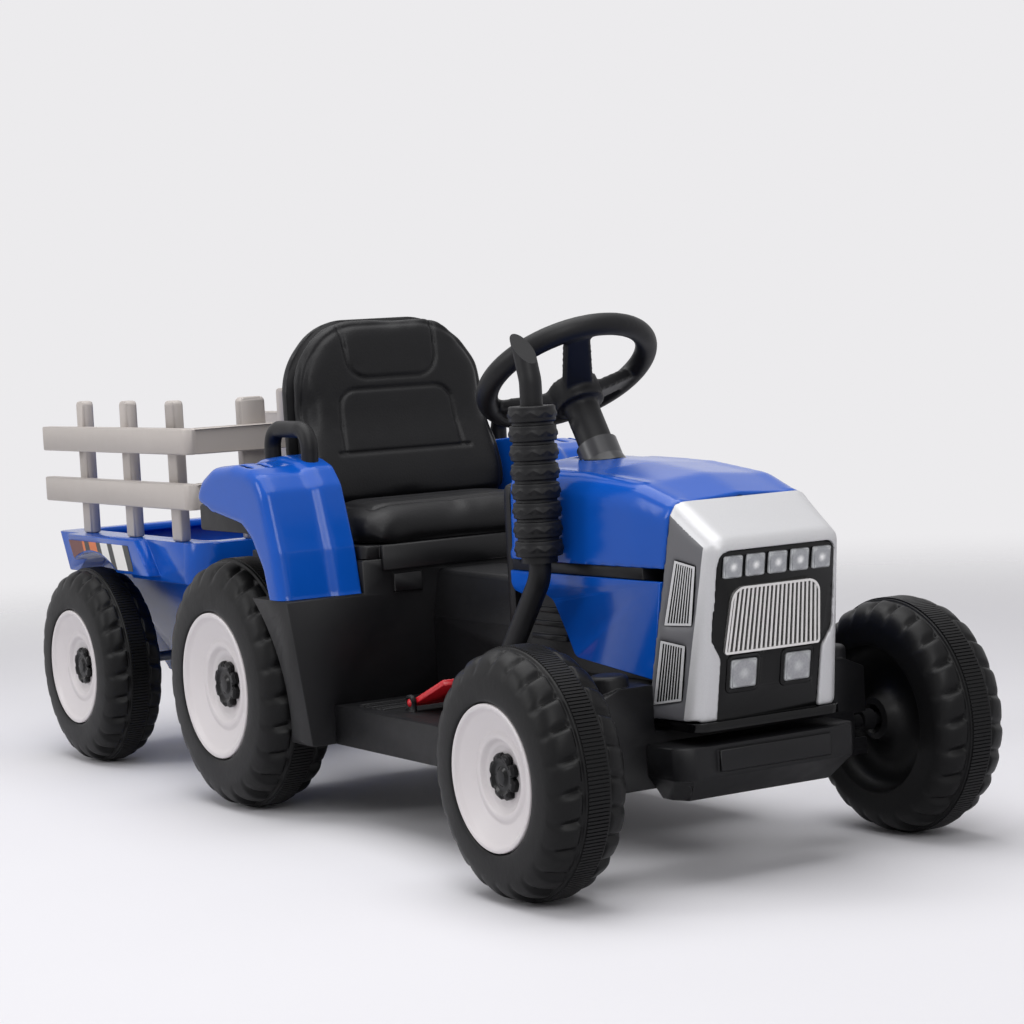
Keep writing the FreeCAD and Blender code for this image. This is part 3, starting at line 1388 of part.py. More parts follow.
def rear_body():
    """Seat box open at the top, with a hollow guard ahead of each rear tyre and a seat latch."""
    box = block(body_rear, floor_rear, -body_half, body_half, body_bottom, body_top)
    guard = front_slab(guard_half(0), guard_rear, floor_rear).cut(tyre_well(tyre_room, guard_top_half))
    hollow = front_slab(guard_half(body_wall), guard_rear + body_wall, floor_rear - body_wall)
    hollow = hollow.cut(tyre_well(tyre_room + body_wall, guard_top_half))
    guard = guard.cut(hollow)
    room = block(body_rear + body_wall, floor_rear - body_wall, -body_half + body_wall, body_half - body_wall,
                 body_bottom + body_wall, body_top + overrun)
    latch = block(floor_rear, floor_rear + latch_depth, latch_y - latch_half, latch_y + latch_half,
                  latch_top - latch_height, latch_top)
    reach = body_half + overrun
    hub = rod(V(rear_x, -reach, rear_tyre_radius), V(rear_x, reach, rear_tyre_radius),
              gear_boss_radius + part_gap)
    return fuse(box, guard, mirrored(guard), latch).cut([room, hub])


def fender_outline():
    """Side outline of a rear fender."""
    return spread(fender_shares, fender_rear, floor_rear, guard_top, fender_top)


def soft_edged(points, y0, y1, rounds):
    """Side outline pulled from an inner y to an outer y, whose outer edge is rolled in steps."""
    start = y1 + fender_edge if y1 < y0 else y1 - fender_edge
    solids = [side_slab(points, y0, start, rounds)]
    sign = -1 if y1 < y0 else 1
    last = loop(points, in_side(start), rounds)
    for i in range(1, fender_edge_steps + 1):
        angle = math.pi / 2 * i / (fender_edge_steps + 0.5)
        y = start + sign * fender_edge * math.sin(angle)
        next_loop = loop(inset(points, fender_edge * (1 - math.cos(angle))), in_side(y), rounds)
        solids.append(Part.makeLoft([last, next_loop], True, True))
        last = next_loop
    return fuse(*solids)


def rear_fender():
    """Right fender: hollow moulding with a raised inner part, rolled outer edge and vent slots."""
    outline = fender_outline()
    body = soft_edged(outline, -fender_inner, -fender_outer, fender_round)
    ridge = soft_edged(inset(outline, -fender_ridge_rise), -fender_inner, -fender_ridge_outer, fender_round)
    below = block(fender_rear - fender_top, floor_rear + fender_top, -fender_outer - overrun, 0,
                  0, guard_top)
    ahead = block(floor_rear, floor_rear + fender_top, -fender_outer - overrun, 0, 0, fender_top)
    skin = fuse(body, ridge).cut([below, ahead])
    inner = inset(outline, fender_wall)
    top_edge = inner[:9]
    rear_x0 = top_edge[-1][0]
    hollow = [(top_edge[0][0], guard_top - overrun)] + top_edge + [(rear_x0, guard_top - overrun)]
    room = side_slab(hollow, -fender_inner - fender_wall, -fender_outer + fender_wall)
    slots = []
    for i in range(vent_slot_count):
        y = vent_slot_first + vent_slot_pitch * i
        slots.append(block(vent_slot_front - vent_slot_length, vent_slot_front, -y - vent_slot_width, -y,
                           fender_top - fender_edge * 2, fender_top + overrun))
    return skin.cut([room] + slots)


def grab_handles(fender):
    """A bent grab handle on each fender."""
    low = fender_top - fender_edge
    spots = [V(handle_rear, -handle_y, low), V(handle_rear, -handle_y, handle_top - handle_radius),
             V(handle_front, -handle_y, handle_top - handle_radius), V(handle_front, -handle_y, low)]
    bar = tube(spots, handle_radius, [handle_bend, handle_bend])
    outline = inset(fender_outline(), -fender_ridge_rise)
    core = side_slab(outline, -fender_ridge_outer, -fender_inner, fender_round)
    right = bar.cut([core, fender])
    return Part.makeCompound([right, mirrored(right)])


# Seat.

def back_outline(low_share, shrink):
    """Half-rounded outline of the seat back, as y and height up the back."""
    low = back_height * low_share
    half = [(back_low_half, low), (back_wide_half, back_height * back_wide_share),
            (back_shoulder_half, back_height * back_shoulder_share), (back_top_half, back_height)]
    return inset(both_sides(half), shrink)


def leaned(shape):
    """Turns what was drawn upright to the lean of the seat back."""
    shape.rotate(V(0, 0, 0), Y_AXIS, -back_lean)
    shape.translate(V(back_foot_x, 0, body_top + pan_thickness))
    return shape


def padded(outline, place_at, thickness, rounds):
    """Cushion form: an outline that draws in towards a crowned face, with sides drawn in between corners."""
    levels = []
    for up, pull in pad_level_shares:
        levels.append(loop(inset(outline, thickness * pull), place_at(thickness * up), rounds(thickness * pull)))
    return Part.makeLoft(levels, True, True)


def seat_shell():
    """Moulded seat: pan with a front lip, and a thin leaning back."""
    rear, front, half = body_rear + pan_margin, floor_rear - pan_margin, body_half - pan_margin
    outline = [(rear, -half), (front, -half), (front, half), (rear, half)]
    pan = plan_slab(outline, body_top, body_top + pan_thickness, pan_round)
    skirt = block(floor_rear, floor_rear + pan_skirt, -pan_skirt_half, pan_skirt_half,
                  body_top - pan_skirt_drop, body_top + pan_thickness)
    bridge = block(front - pan_round, floor_rear, -pan_skirt_half, pan_skirt_half, body_top, body_top + pan_thickness)
    back = leaned(front_slab(back_outline(0, 0), -back_shell, 0, [0, back_round, back_round, back_round,
                                                                 back_round, back_round, back_round, 0]))
    foot = leaned(front_slab([(-back_low_half, -pan_thickness), (back_low_half, -pan_thickness),
                              (back_low_half, back_shell), (-back_low_half, back_shell)], -back_shell, 0))
    trim = block(rear, front, -half, half, body_top - back_height, body_top)
    return fuse(pan, bridge, skirt, back, foot.cut(trim))


def ring_groove(points, place, run, rounds):
    """Narrow channel that follows a closed outline."""
    outer = slab(points, place, run, rounds)
    inner = slab(inset(points, channel_width), place, run, max(rounds - channel_width, 0))
    return outer.cut(inner)


def seat_back_pad():
    """Crowned back pad with two pressed channels."""
    outline = back_outline(pad_low_share, pad_inset)
    def rounds(pull):
        return [back_low_round] + [back_round - pad_inset - pull] * 6 + [back_low_round]
    pad = padded(outline, in_front, back_pad_thickness, rounds)
    channels = []
    for shares in (channel_top_shares, channel_low_shares):
        span = back_height * (1 - pad_low_share)
        points = [(back_wide_half * a, back_height * pad_low_share + span * b) for a, b in shares]
        channels.append(ring_groove(points, in_front(back_pad_thickness - channel_depth),
                                    V(channel_depth + overrun, 0, 0), channel_round))
    return leaned(pad.cut(channels))


def seat_cushion():
    """Crowned seat cushion with a channel across it."""
    middle = (cushion_rear + cushion_front) / 2
    waist = cushion_half - cushion_waist
    outline = [(cushion_rear, -cushion_half), (middle, -waist), (cushion_front, -cushion_half),
               (cushion_front, cushion_half), (middle, waist), (cushion_rear, cushion_half)]
    low = body_top + pan_thickness
    pad = padded(outline, lambda up: in_plan(low + up), cushion_thickness, lambda pull: cushion_round)
    x = cushion_rear + (cushion_front - cushion_rear) * cushion_channel_share
    channel = block(x, x + channel_width, -cushion_half, cushion_half,
                    low + cushion_thickness - channel_depth, low + cushion_thickness + overrun)
    return pad.cut([channel, seat_back_pad()])


# Drive train inside the rear body.

def rear_axle():
    """Steel axle with a nut near each end."""
    reach = rear_wheel_outer - rear_tyre_width * axle_end_share
    bar = rod(V(rear_x, -reach, rear_tyre_radius), V(rear_x, reach, rear_tyre_radius), axle_radius)
    nut = axle_nut(rear_tyre_width, rear_wheel_outer)
    nut.translate(V(rear_x, 0, rear_tyre_radius))
    return Part.makeCompound([bar, nut, mirrored(nut)])


def gearboxes():
    """A gearbox inside each wall of the rear body, with its output boss towards the wheel."""
    wall = body_half - body_wall
    low = body_bottom + body_wall
    outline = [(rear_x - gear_rear, low), (rear_x + gear_front, low), (rear_x + gear_front, gear_top),
               (rear_x - gear_rear, gear_top)]
    case = side_slab(outline, -wall, -gear_inner, gear_boss_radius)
    tip = rear_wheel_outer - rear_tyre_width - gear_boss_room
    boss = rod(V(rear_x, -wall, rear_tyre_radius), V(rear_x, -tip, rear_tyre_radius), gear_boss_radius)
    bore = rod(V(rear_x, -rear_wheel_outer, rear_tyre_radius), V(rear_x, 0, rear_tyre_radius),
               axle_radius + running_gap)
    right = fuse(case, boss).cut(bore)
    return Part.makeCompound([right, mirrored(right)])


def drive_motors():
    """A motor on the front of each gearbox."""
    start = V(rear_x + gear_front, -motor_y, motor_z)
    can = rod(start, start + V(motor_length, 0, 0), motor_radius)
    return Part.makeCompound([can, mirrored(can)])


def battery():
    """Sealed battery on the floor of the rear body, with two posts."""
    low = body_bottom + body_wall
    case = block(battery_rear, battery_rear + battery_length, -battery_half, battery_half,
                 low, low + battery_height)
    posts = []
    for side in (-1, 1):
        foot = V(battery_rear + battery_post_radius * 3, side * battery_half / 2, low + battery_height)
        posts.append(Part.makeCylinder(battery_post_radius, battery_post_height, foot, Z_AXIS))
    return fuse(case, *posts)


def control_box():
    """Control box ahead of the battery."""
    low = body_bottom + body_wall
    return block(control_rear, control_rear + control_length, -control_half, control_half,
                 low, low + control_height)


# Hitch and trailer.

def hitch_bracket():
    """Two plates and a back plate behind the seat box, with the hitch pin through them."""
    high = hitch_low + hitch_plate + hitch_gap
    plates = []
    for z in (hitch_low, high):
        outline = [(body_rear, -hitch_half), (hitch_x - hitch_half, -hitch_half), (hitch_x - hitch_half, hitch_half),
                   (body_rear, hitch_half)]
        plates.append(plan_slab(outline, z, z + hitch_plate, [0, hitch_corner, hitch_corner, 0]))
    back = block(body_rear - hitch_plate, body_rear, -hitch_half, hitch_half, hitch_low, high + hitch_plate)
    pin = rod(V(hitch_x, 0, hitch_low), V(hitch_x, 0, high + hitch_plate), pin_radius)
    head = Part.makeCylinder(pin_head_radius, pin_head, V(hitch_x, 0, high + hitch_plate), Z_AXIS)
    return fuse(back, *plates, pin, head)


def trailer_hull(low=hull_bottom, wall=0, rise=0):
    """The tapering lower hull that carries the axle, from a height up, drawn in by a wall."""
    def level(z):
        share = (z - hull_bottom) / (tray_bottom - hull_bottom)
        rear = hull_low_rear + (hull_top_rear - hull_low_rear) * share + wall
        front = hull_low_front + (hull_top_front - hull_low_front) * share - wall
        half = hull_low_half + (hull_top_half - hull_low_half) * share - wall
        return loop([(rear, -half), (front, -half), (front, half), (rear, half)], in_plan(z), tray_round / 2)
    return Part.makeLoft([level(low), level(tray_bottom + rise)], True, True)


def axle_bore(radius, half):
    """Round bar along the trailer axle."""
    return rod(V(trailer_x, -half, trailer_tyre_radius), V(trailer_x, half, trailer_tyre_radius), radius)


def wheel_arch(radius, inner, outer):
    """Round space over the right trailer tyre."""
    return rod(V(trailer_x, -outer, trailer_tyre_radius), V(trailer_x, -inner, trailer_tyre_radius), radius)


def trailer_tray():
    """Tray with a rolled rim, wheel arches, flared sides and the hull below."""
    rear, front = rail_rear_x + tray_inset, rail_front_x - tray_inset
    outline = [(rear, -tray_half), (front, -tray_half), (front, tray_half), (rear, tray_half)]
    rounds = [tray_round / 3, tray_round, tray_round, tray_round / 3]
    body = plan_slab(outline, tray_bottom, tray_top, rounds)
    flare_points = [(flare_rear_low, flare_low), (flare_front_low, flare_low), (flare_front_top, tray_top),
                    (flare_rear, tray_top)]
    flare = side_slab(flare_points, -flare_outer, -tray_half + tray_wall)
    radius = trailer_tyre_radius + arch_gap
    arch = wheel_arch(radius, arch_inner + arch_skin, flare_outer + overrun)
    room = plan_slab(inset(outline, tray_wall), tray_bottom + tray_wall, tray_top - rim_height, rounds)
    mouth = plan_slab(inset(outline, rim_width), tray_top - rim_height - overrun, tray_top + overrun, tray_round / 2)
    hump = wheel_arch(radius + arch_skin, arch_inner, tray_half - tray_wall)
    hump = hump.common(block(rear, front, -tray_half, tray_half, tray_bottom, tray_top - rim_height))
    shell = fuse(body.cut([room, mouth]), flare, mirrored(flare), hump, mirrored(hump))
    inside = trailer_hull(hull_floor, hull_wall, tray_wall)
    tub = fuse(shell, trailer_hull()).cut([inside, arch, mirrored(arch)])
    return tub.cut(axle_bore(axle_radius + running_gap, tray_half))


def trailer_axle():
    """Steel axle through the hull with a nut near each end."""
    bar = axle_bore(axle_radius, trailer_wheel_outer - trailer_tyre_width * axle_end_share)
    nut = axle_nut(trailer_tyre_width, trailer_wheel_outer)
    nut.translate(V(trailer_x, 0, trailer_tyre_radius))
    return Part.makeCompound([bar, nut, mirrored(nut)])


def trailer_drawbar():
    """Bar from the hull to the hitch pin, with an eye at its front."""
    low = hitch_low + hitch_plate + part_gap
    high = low + hitch_gap - part_gap * 2
    bar = block(bar_rear, hitch_x, -bar_half, bar_half, low, high)
    eye = rod(V(hitch_x, 0, low), V(hitch_x, 0, high), bar_eye_radius)
    bore = rod(V(hitch_x, 0, low - overrun), V(hitch_x, 0, high + overrun), pin_radius + running_gap)
    return fuse(bar, eye).cut([bore, trailer_hull()])


def trailer_rails():
    """Two levels of slats: one along each side and one across the front."""
    inner = rail_outer - rail_thickness
    made = []
    for i in range(rail_count):
        low = rail_low + rail_pitch * i
        side = block(rail_rear_x, rail_front_x, -rail_outer, -inner, low, low + rail_height)
        corner = [e for e in side.Edges if e.BoundBox.XMin > rail_front_x - overrun
                  and e.BoundBox.ZLength > rail_height / 2 and e.BoundBox.YMax < -rail_outer + overrun]
        side = side.makeFillet(rail_thickness - overrun, corner)
        front = block(rail_front_x - rail_thickness, rail_front_x, -inner, inner, low, low + rail_height)
        made += [side, front, mirrored(side)]
    return Part.makeCompound(made)


def trailer_posts():
    """Upright slats on the tray's rim: three on each side and two at the front."""
    inner = rail_outer - rail_thickness
    made = []
    for share in side_post_shares:
        x = rail_rear_x + rail_length * share
        outline = [(x - post_width / 2, tray_top), (x + post_width / 2, tray_top), (x + post_width / 2, post_top),
                   (x - post_width / 2, post_top)]
        post = side_slab(outline, -inner, -inner + post_depth, [0, 0, post_round, post_round])
        made += [post, mirrored(post)]
    for side in (-1, 1):
        y = side * front_post_y
        outline = [(y - front_post_width / 2, tray_top), (y + front_post_width / 2, tray_top),
                   (y + front_post_width / 2, post_top), (y - front_post_width / 2, post_top)]
        face = rail_front_x - rail_thickness
        made.append(front_slab(outline, face - post_depth, face, [0, 0, post_round, post_round]))
    return Part.makeCompound(made)


def build():
    """All nodes by name."""
    parts = {}
    parts.update(wheel_pieces("front", front_x, front_tyre_radius, front_tyre_width, front_wheel_outer))
    parts.update(wheel_pieces("rear", rear_x, rear_tyre_radius, rear_tyre_width, rear_wheel_outer))
    parts.update(wheel_pieces("trailer", trailer_x, trailer_tyre_radius, trailer_tyre_width, trailer_wheel_outer))
    right_knuckle = knuckle()
    right_fender = rear_fender()
    panel = side_panel()
    parts["front_axle_beam"] = front_axle_beam()
    parts["knuckle_right"] = right_knuckle
    parts["knuckle_left"] = mirrored(right_knuckle)
    parts["tie_rod"] = tie_rod()
    parts["steering_wheel"] = steering_wheel()
    parts["steering_shaft"] = steering_shaft()
    parts["column_collar"] = column_collar(bonnet_outside())
    parts["bonnet"] = bonnet()
    parts["bay_frame"] = bay_frame()
    parts["side_panels"] = Part.makeCompound([panel, mirrored(panel)])
    parts["nose_shell"] = nose_shell()
    parts["grille_panel"] = grille_panel()
    parts["radiator_grille"] = radiator_grille()
    parts["lamp_lenses"] = lamp_lenses()
    parts["side_grilles"] = side_grilles()
    parts["front_bumper"] = front_bumper()
    parts["floor_pan"] = floor_pan()
    parts["foot_pedal"] = foot_pedal()
    parts["centre_tunnel"] = centre_tunnel()
    parts["dash_panel"] = dash_panel()
    parts["start_button"] = start_button()
    parts["direction_rocker"] = direction_rocker()
    parts["exhaust_pipe"] = exhaust_pipe()
    parts["exhaust_sleeve"] = exhaust_sleeve()
    parts["rear_body"] = rear_body()
    parts["rear_fender_right"] = right_fender
    parts["rear_fender_left"] = mirrored(right_fender)
    parts["grab_handles"] = grab_handles(right_fender)
    parts["seat_shell"] = seat_shell()
    parts["seat_back_pad"] = seat_back_pad()
    parts["seat_cushion"] = seat_cushion()
    parts["rear_axle"] = rear_axle()
    parts["gearboxes"] = gearboxes()
    parts["drive_motors"] = drive_motors()
    parts["battery"] = battery()
    parts["control_box"] = control_box()
    parts["hitch_bracket"] = hitch_bracket()
    parts["trailer_tray"] = trailer_tray()
    parts["trailer_axle"] = trailer_axle()
    parts["trailer_drawbar"] = trailer_drawbar()
    parts["trailer_rails"] = trailer_rails()
    parts["trailer_posts"] = trailer_posts()
    return parts


os.makedirs("parts", exist_ok=True)
for node, shape in build().items():
    shape.exportStep("parts/" + node + ".step")
    sound = shape.isValid() and all(s.Volume > 0 for s in shape.Solids)
    print(node, len(shape.Solids), "solids", round(shape.Volume), "mm3", "sound" if sound else "NOT SOUND")
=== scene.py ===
# Dresses the battery ride-on tractor and its trailer: finishes, padded seat, tyres, lamps, light and camera.
# Metres throughout; +X is forward, +Y the driver's left, +Z up.
import bpy
import json
import math
from mathutils import Matrix, Vector


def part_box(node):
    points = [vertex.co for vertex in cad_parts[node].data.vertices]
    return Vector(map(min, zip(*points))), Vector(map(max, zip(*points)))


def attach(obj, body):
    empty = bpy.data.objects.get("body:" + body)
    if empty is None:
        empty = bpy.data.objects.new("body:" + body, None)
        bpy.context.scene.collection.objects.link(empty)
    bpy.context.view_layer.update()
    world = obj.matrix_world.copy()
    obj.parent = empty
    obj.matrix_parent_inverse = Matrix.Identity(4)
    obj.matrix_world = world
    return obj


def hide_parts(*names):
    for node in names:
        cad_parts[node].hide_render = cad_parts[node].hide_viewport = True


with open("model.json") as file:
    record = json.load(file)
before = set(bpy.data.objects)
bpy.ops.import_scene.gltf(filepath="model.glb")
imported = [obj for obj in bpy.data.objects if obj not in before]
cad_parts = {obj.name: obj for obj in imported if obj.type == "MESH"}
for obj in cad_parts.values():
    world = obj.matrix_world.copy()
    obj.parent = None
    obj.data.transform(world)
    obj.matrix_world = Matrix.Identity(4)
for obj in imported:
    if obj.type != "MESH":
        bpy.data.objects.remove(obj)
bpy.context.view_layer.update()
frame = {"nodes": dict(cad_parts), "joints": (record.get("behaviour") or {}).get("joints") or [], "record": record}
MM = 0.001


# Small tools of the bench.

def linear(text):
    """sRGB hex to the linear colour that shaders take."""
    parts = [int(text[i:i + 2], 16) / 255 for i in (1, 3, 5)]
    return tuple(p / 12.92 if p <= 0.04045 else ((p + 0.055) / 1.055) ** 2.4 for p in parts) + (1,)


def shaded(colour, share):
    """A colour made darker or lighter by a share."""
    return tuple(min(c * share, 1) for c in linear(colour)[:3]) + (1,)


def add(tree, kind, values=(), links=(), **settings):
    """Adds a node with its input values, its links and its settings."""
    node = tree.nodes.new("ShaderNode" + kind)
    for key, value in settings.items():
        setattr(node, key, value)
    for key, value in dict(values).items():
        node.inputs[key].default_value = value
    for key, source in dict(links).items():
        tree.links.new(source, node.inputs[key])
    return node


def held(value):
    """A share kept between 0 and 1."""
    return min(max(value, 0), 1)


def deselect():
    bpy.ops.object.select_all(action="DESELECT")


def only(piece):
    """Makes one piece the selected and active one."""
    deselect()
    piece.select_set(True)
    bpy.context.view_layer.objects.active = piece


def named(name):
    """Names the primitive that was just added, with its place and turn put into its mesh."""
    piece = bpy.context.active_object
    piece.name = name
    piece.data.name = name
    bpy.ops.object.transform_apply(location=True, rotation=True, scale=True)
    return piece


def pick(piece, test, kind="FACE"):
    """Goes into edit mode with the faces, edges or points that pass a test selected."""
    only(piece)
    bpy.ops.object.mode_set(mode="OBJECT")
    mesh = piece.data
    for group in (mesh.polygons, mesh.edges, mesh.vertices):
        group.foreach_set("select", [False] * len(group))
    for item in {"FACE": mesh.polygons, "EDGE": mesh.edges, "VERT": mesh.vertices}[kind]:
        item.select = bool(test(item))
    bpy.ops.object.mode_set(mode="EDIT")
    bpy.ops.mesh.select_mode(type=kind)


def done():
    bpy.ops.object.mode_set(mode="OBJECT")


def modify(piece, kind, **settings):
    """Adds a modifier and applies it at once."""
    only(piece)
    step = piece.modifiers.new(kind.lower(), kind)
    for key, value in settings.items():
        setattr(step, key, value)
    bpy.ops.object.modifier_apply(modifier=step.name)


def rolled(piece, width, segments, degrees, **more):
    """Rolls over the edges that turn by more than an angle."""
    modify(piece, "BEVEL", width=width, segments=segments, limit_method="ANGLE",
           angle_limit=math.radians(degrees), **more)


def smooth(piece, degrees):
    only(piece)
    bpy.ops.object.shade_smooth_by_angle(angle=math.radians(degrees))
    return piece


def outward(piece):
    """Merges what coincides and turns all faces outwards."""
    pick(piece, lambda v: True, "VERT")
    bpy.ops.mesh.select_all(action="SELECT")
    bpy.ops.mesh.remove_doubles(threshold=0.02 * MM)
    bpy.ops.mesh.normals_make_consistent(inside=False)
    done()
    return piece


def points(piece):
    """The places of a piece's points, which can be moved."""
    return [vertex.co for vertex in piece.data.vertices]


def dress(piece, material):
    piece.data.materials.clear()
    piece.data.materials.append(material)


# Finishes.

def blank(name, values=()):
    """A new material with values set on its shader, its node tree and the place on the piece."""
    material = bpy.data.materials.new(name)
    material.use_nodes = True
    tree = material.node_tree
    for key, value in dict(values).items():
        tree.nodes["Principled BSDF"].inputs[key].default_value = value
    return material, tree, add(tree, "TexCoord").outputs["Object"]


def surfaced(material, tone, roughness, relief):
    """Leads the nodes for tone, roughness and relief into the shader of a material."""
    tree = material.node_tree
    for key, node in (("Base Color", tone), ("Roughness", roughness), ("Normal", relief)):
        tree.links.new(node.outputs[0], tree.nodes["Principled BSDF"].inputs[key])
    return material


# Flow marks and haze of moulded plastic, in millimetres.
FLOW_MM, HAZE_MM = 60, 14


def plastic(name, colour, gloss, grain_mm, depth_mm, spread=0.05, mirror=0.5):
    """Moulded plastic: faint flow marks in its tone, an uneven gloss and the mould's grain."""
    material, tree, place = blank(name, {"IOR": 1.5, "Specular IOR Level": mirror})
    flow = add(tree, "TexNoise", {"Scale": 1 / (FLOW_MM * MM), "Detail": 3.0, "Roughness": 0.6},
               {"Vector": place})
    tone = add(tree, "ValToRGB", links={"Fac": flow.outputs["Fac"]})
    for end, share in zip(tone.color_ramp.elements, (1 - spread, 1 + spread)):
        end.color = shaded(colour, share)
    haze = add(tree, "TexNoise", {"Scale": 1 / (HAZE_MM * MM), "Detail": 4.0}, {"Vector": place})
    uneven = add(tree, "MapRange", {"To Min": gloss * 0.85, "To Max": gloss * 1.2},
                 {"Value": haze.outputs["Fac"]})
    grain = add(tree, "TexNoise", {"Scale": 1 / (grain_mm * MM), "Detail": 2.0}, {"Vector": place})
    relief = add(tree, "Bump", {"Strength": 0.5, "Distance": depth_mm * MM}, {"Height": grain.outputs["Fac"]})
    return surfaced(material, tone, uneven, relief)


# ABS, injection moulded in a polished tool: deep blue with mirror-like highlights.
blue_abs = plastic("abs_polished_blue", "#0A4FB0", gloss=0.17, grain_mm=9, depth_mm=0.04, mirror=0.26)
# Polypropylene, moulded in an etched tool: near black, satin, its fine grain drawn at 1.2 mm to show.
black_pp = plastic("polypropylene_etched_black", "#121214", gloss=0.46, grain_mm=1.2, depth_mm=0.12,
                   spread=0.12, mirror=0.24)
# ABS, polished, black: the face panel and the caps.
black_abs = plastic("abs_polished_black", "#060607", gloss=0.2, grain_mm=8, depth_mm=0.03,
                    spread=0.1, mirror=0.22)
# Polyethylene, blow moulded: the tyres, satin with soft waves and scuffs.
tyre_pe = plastic("polyethylene_blown_black", "#0C0C0D", gloss=0.42, grain_mm=5, depth_mm=0.3,
                  spread=0.14, mirror=0.18)
# Polypropylene, moulded light grey: the rims.
rim_pp = plastic("polypropylene_moulded_light_grey", "#D0CBCC", gloss=0.42, grain_mm=2.5, depth_mm=0.06,
                 spread=0.04)
# Polypropylene, moulded warm grey: the fence.
fence_pp = plastic("polypropylene_moulded_warm_grey", "#B3ACA7", gloss=0.45, grain_mm=2.0, depth_mm=0.08)
# Polypropylene, moulded red: the pedal and the start button.
red_pp = plastic("polypropylene_moulded_red", "#C81E28", gloss=0.3, grain_mm=2.0, depth_mm=0.05, spread=0.06)
# ABS, satin dark grey: the side fields of the nose.
grey_abs = plastic("abs_satin_dark_grey", "#5C5C60", gloss=0.38, grain_mm=1.2, depth_mm=0.08, spread=0.06)
# ABS, satin charcoal: the steering column.
column_abs = plastic("abs_satin_charcoal", "#2B2B2D", gloss=0.3, grain_mm=1.2, depth_mm=0.08, spread=0.06)

# Prisms of a lamp in millimetres, drawn coarse enough to show.
PRISM_MM = 2.2
# Shares of a lamp's size from its middle: end of the painted highlight, start and end of the paler edge.
PAINTED_GLINT_END, EDGE_START, EDGE_END = 0.27, 0.44, 0.54


def lamp_glass(name, colour, painted_glint, edge):
    """Acrylic over a frosted reflector: grey, with a painted highlight in the middle and a paler moulded edge."""
    material, tree, place = blank(name, {"IOR": 1.49, "Coat Weight": 0.5, "Coat Roughness": 0.05})
    middle = add(tree, "VectorMath", {1: (0.5, 0.5, 0.0)},
                 {0: tree.nodes["Texture Coordinate"].outputs["UV"]}, operation="DISTANCE")
    tone = add(tree, "ValToRGB", links={"Fac": middle.outputs["Value"]})
    ramp = tone.color_ramp
    ramp.interpolation = "EASE"
    # Painted highlight: the middle of the lens is given a near-white colour.
    ramp.elements[0].color = linear(painted_glint)
    ramp.elements[1].position = PAINTED_GLINT_END
    ramp.elements[1].color = linear(colour)
    for position, shade in ((EDGE_START, colour), (EDGE_END, edge)):
        ramp.elements.new(position).color = linear(shade)
    frost = add(tree, "TexVoronoi", {"Scale": 1 / (PRISM_MM * MM)}, {"Vector": place})
    speck = add(tree, "MapRange", {"To Min": 0.86, "To Max": 1.1}, {"Value": frost.outputs["Distance"]})
    mixed = add(tree, "VectorMath", operation="SCALE",
                links={0: tone.outputs["Color"], "Scale": speck.outputs["Result"]})
    uneven = add(tree, "MapRange", {"To Min": 0.14, "To Max": 0.26}, {"Value": frost.outputs["Distance"]})
    relief = add(tree, "Bump", {"Strength": 0.4, "Distance": 0.2 * MM}, {"Height": frost.outputs["Distance"]})
    return surfaced(material, mixed, uneven, relief)


# Acrylic, moulded clear over a frosted reflector: the lamps, and duller ones below them; the second colour of each
# is a painted highlight in its middle.
lamp_acrylic = lamp_glass("acrylic_clear_over_frost", "#9C9EA2", "#F8F8F8", "#BABCBE")
fog_acrylic = lamp_glass("acrylic_frosted_fog", "#98999D", "#BFC0C2", "#B0B2B4")


def metal(name, colour, gloss, grain_mm, depth_mm, metallic=1.0):
    """Bright metal or metal paint: slight waves in the surface and an uneven polish."""
    material, tree, place = blank(name, {"Metallic": metallic})
    flake = add(tree, "TexNoise", {"Scale": 1 / (grain_mm * MM), "Detail": 2.0}, {"Vector": place})
    tone = add(tree, "ValToRGB", links={"Fac": flake.outputs["Fac"]})
    for end, share in zip(tone.color_ramp.elements, (0.9, 1.08)):
        end.color = shaded(colour, share)
    uneven = add(tree, "MapRange", {"To Min": gloss * 0.8, "To Max": gloss * 1.25},
                 {"Value": flake.outputs["Fac"]})
    relief = add(tree, "Bump", {"Strength": 0.4, "Distance": depth_mm * MM}, {"Height": flake.outputs["Fac"]})
    return surfaced(material, tone, uneven, relief)


# Silver paint on ABS: a satin metal-flake coat.
silver_paint = metal("silver_paint_on_abs", "#C6C6C8", gloss=0.42, grain_mm=1.0, depth_mm=0.02, metallic=0.3)
# Chrome plating on ABS: the radiator bars.
chrome = metal("chrome_plated_abs", "#DEDCDA", gloss=0.22, grain_mm=6.0, depth_mm=0.02, metallic=0.8)
# Steel, zinc plated: shafts, axles and the hitch.
zinc_steel = metal("steel_zinc_plated", "#8F9294", gloss=0.32, grain_mm=2.0, depth_mm=0.04)
# Steel, drawn and lacquered: the motor cans.
motor_steel = metal("steel_lacquered", "#6E7276", gloss=0.4, grain_mm=2.0, depth_mm=0.03)

# Pebbles, drawn coarse enough to show, and creases of the vinyl, in millimetres.
PEBBLE_MM, CREASE_MM = 2.4, 18


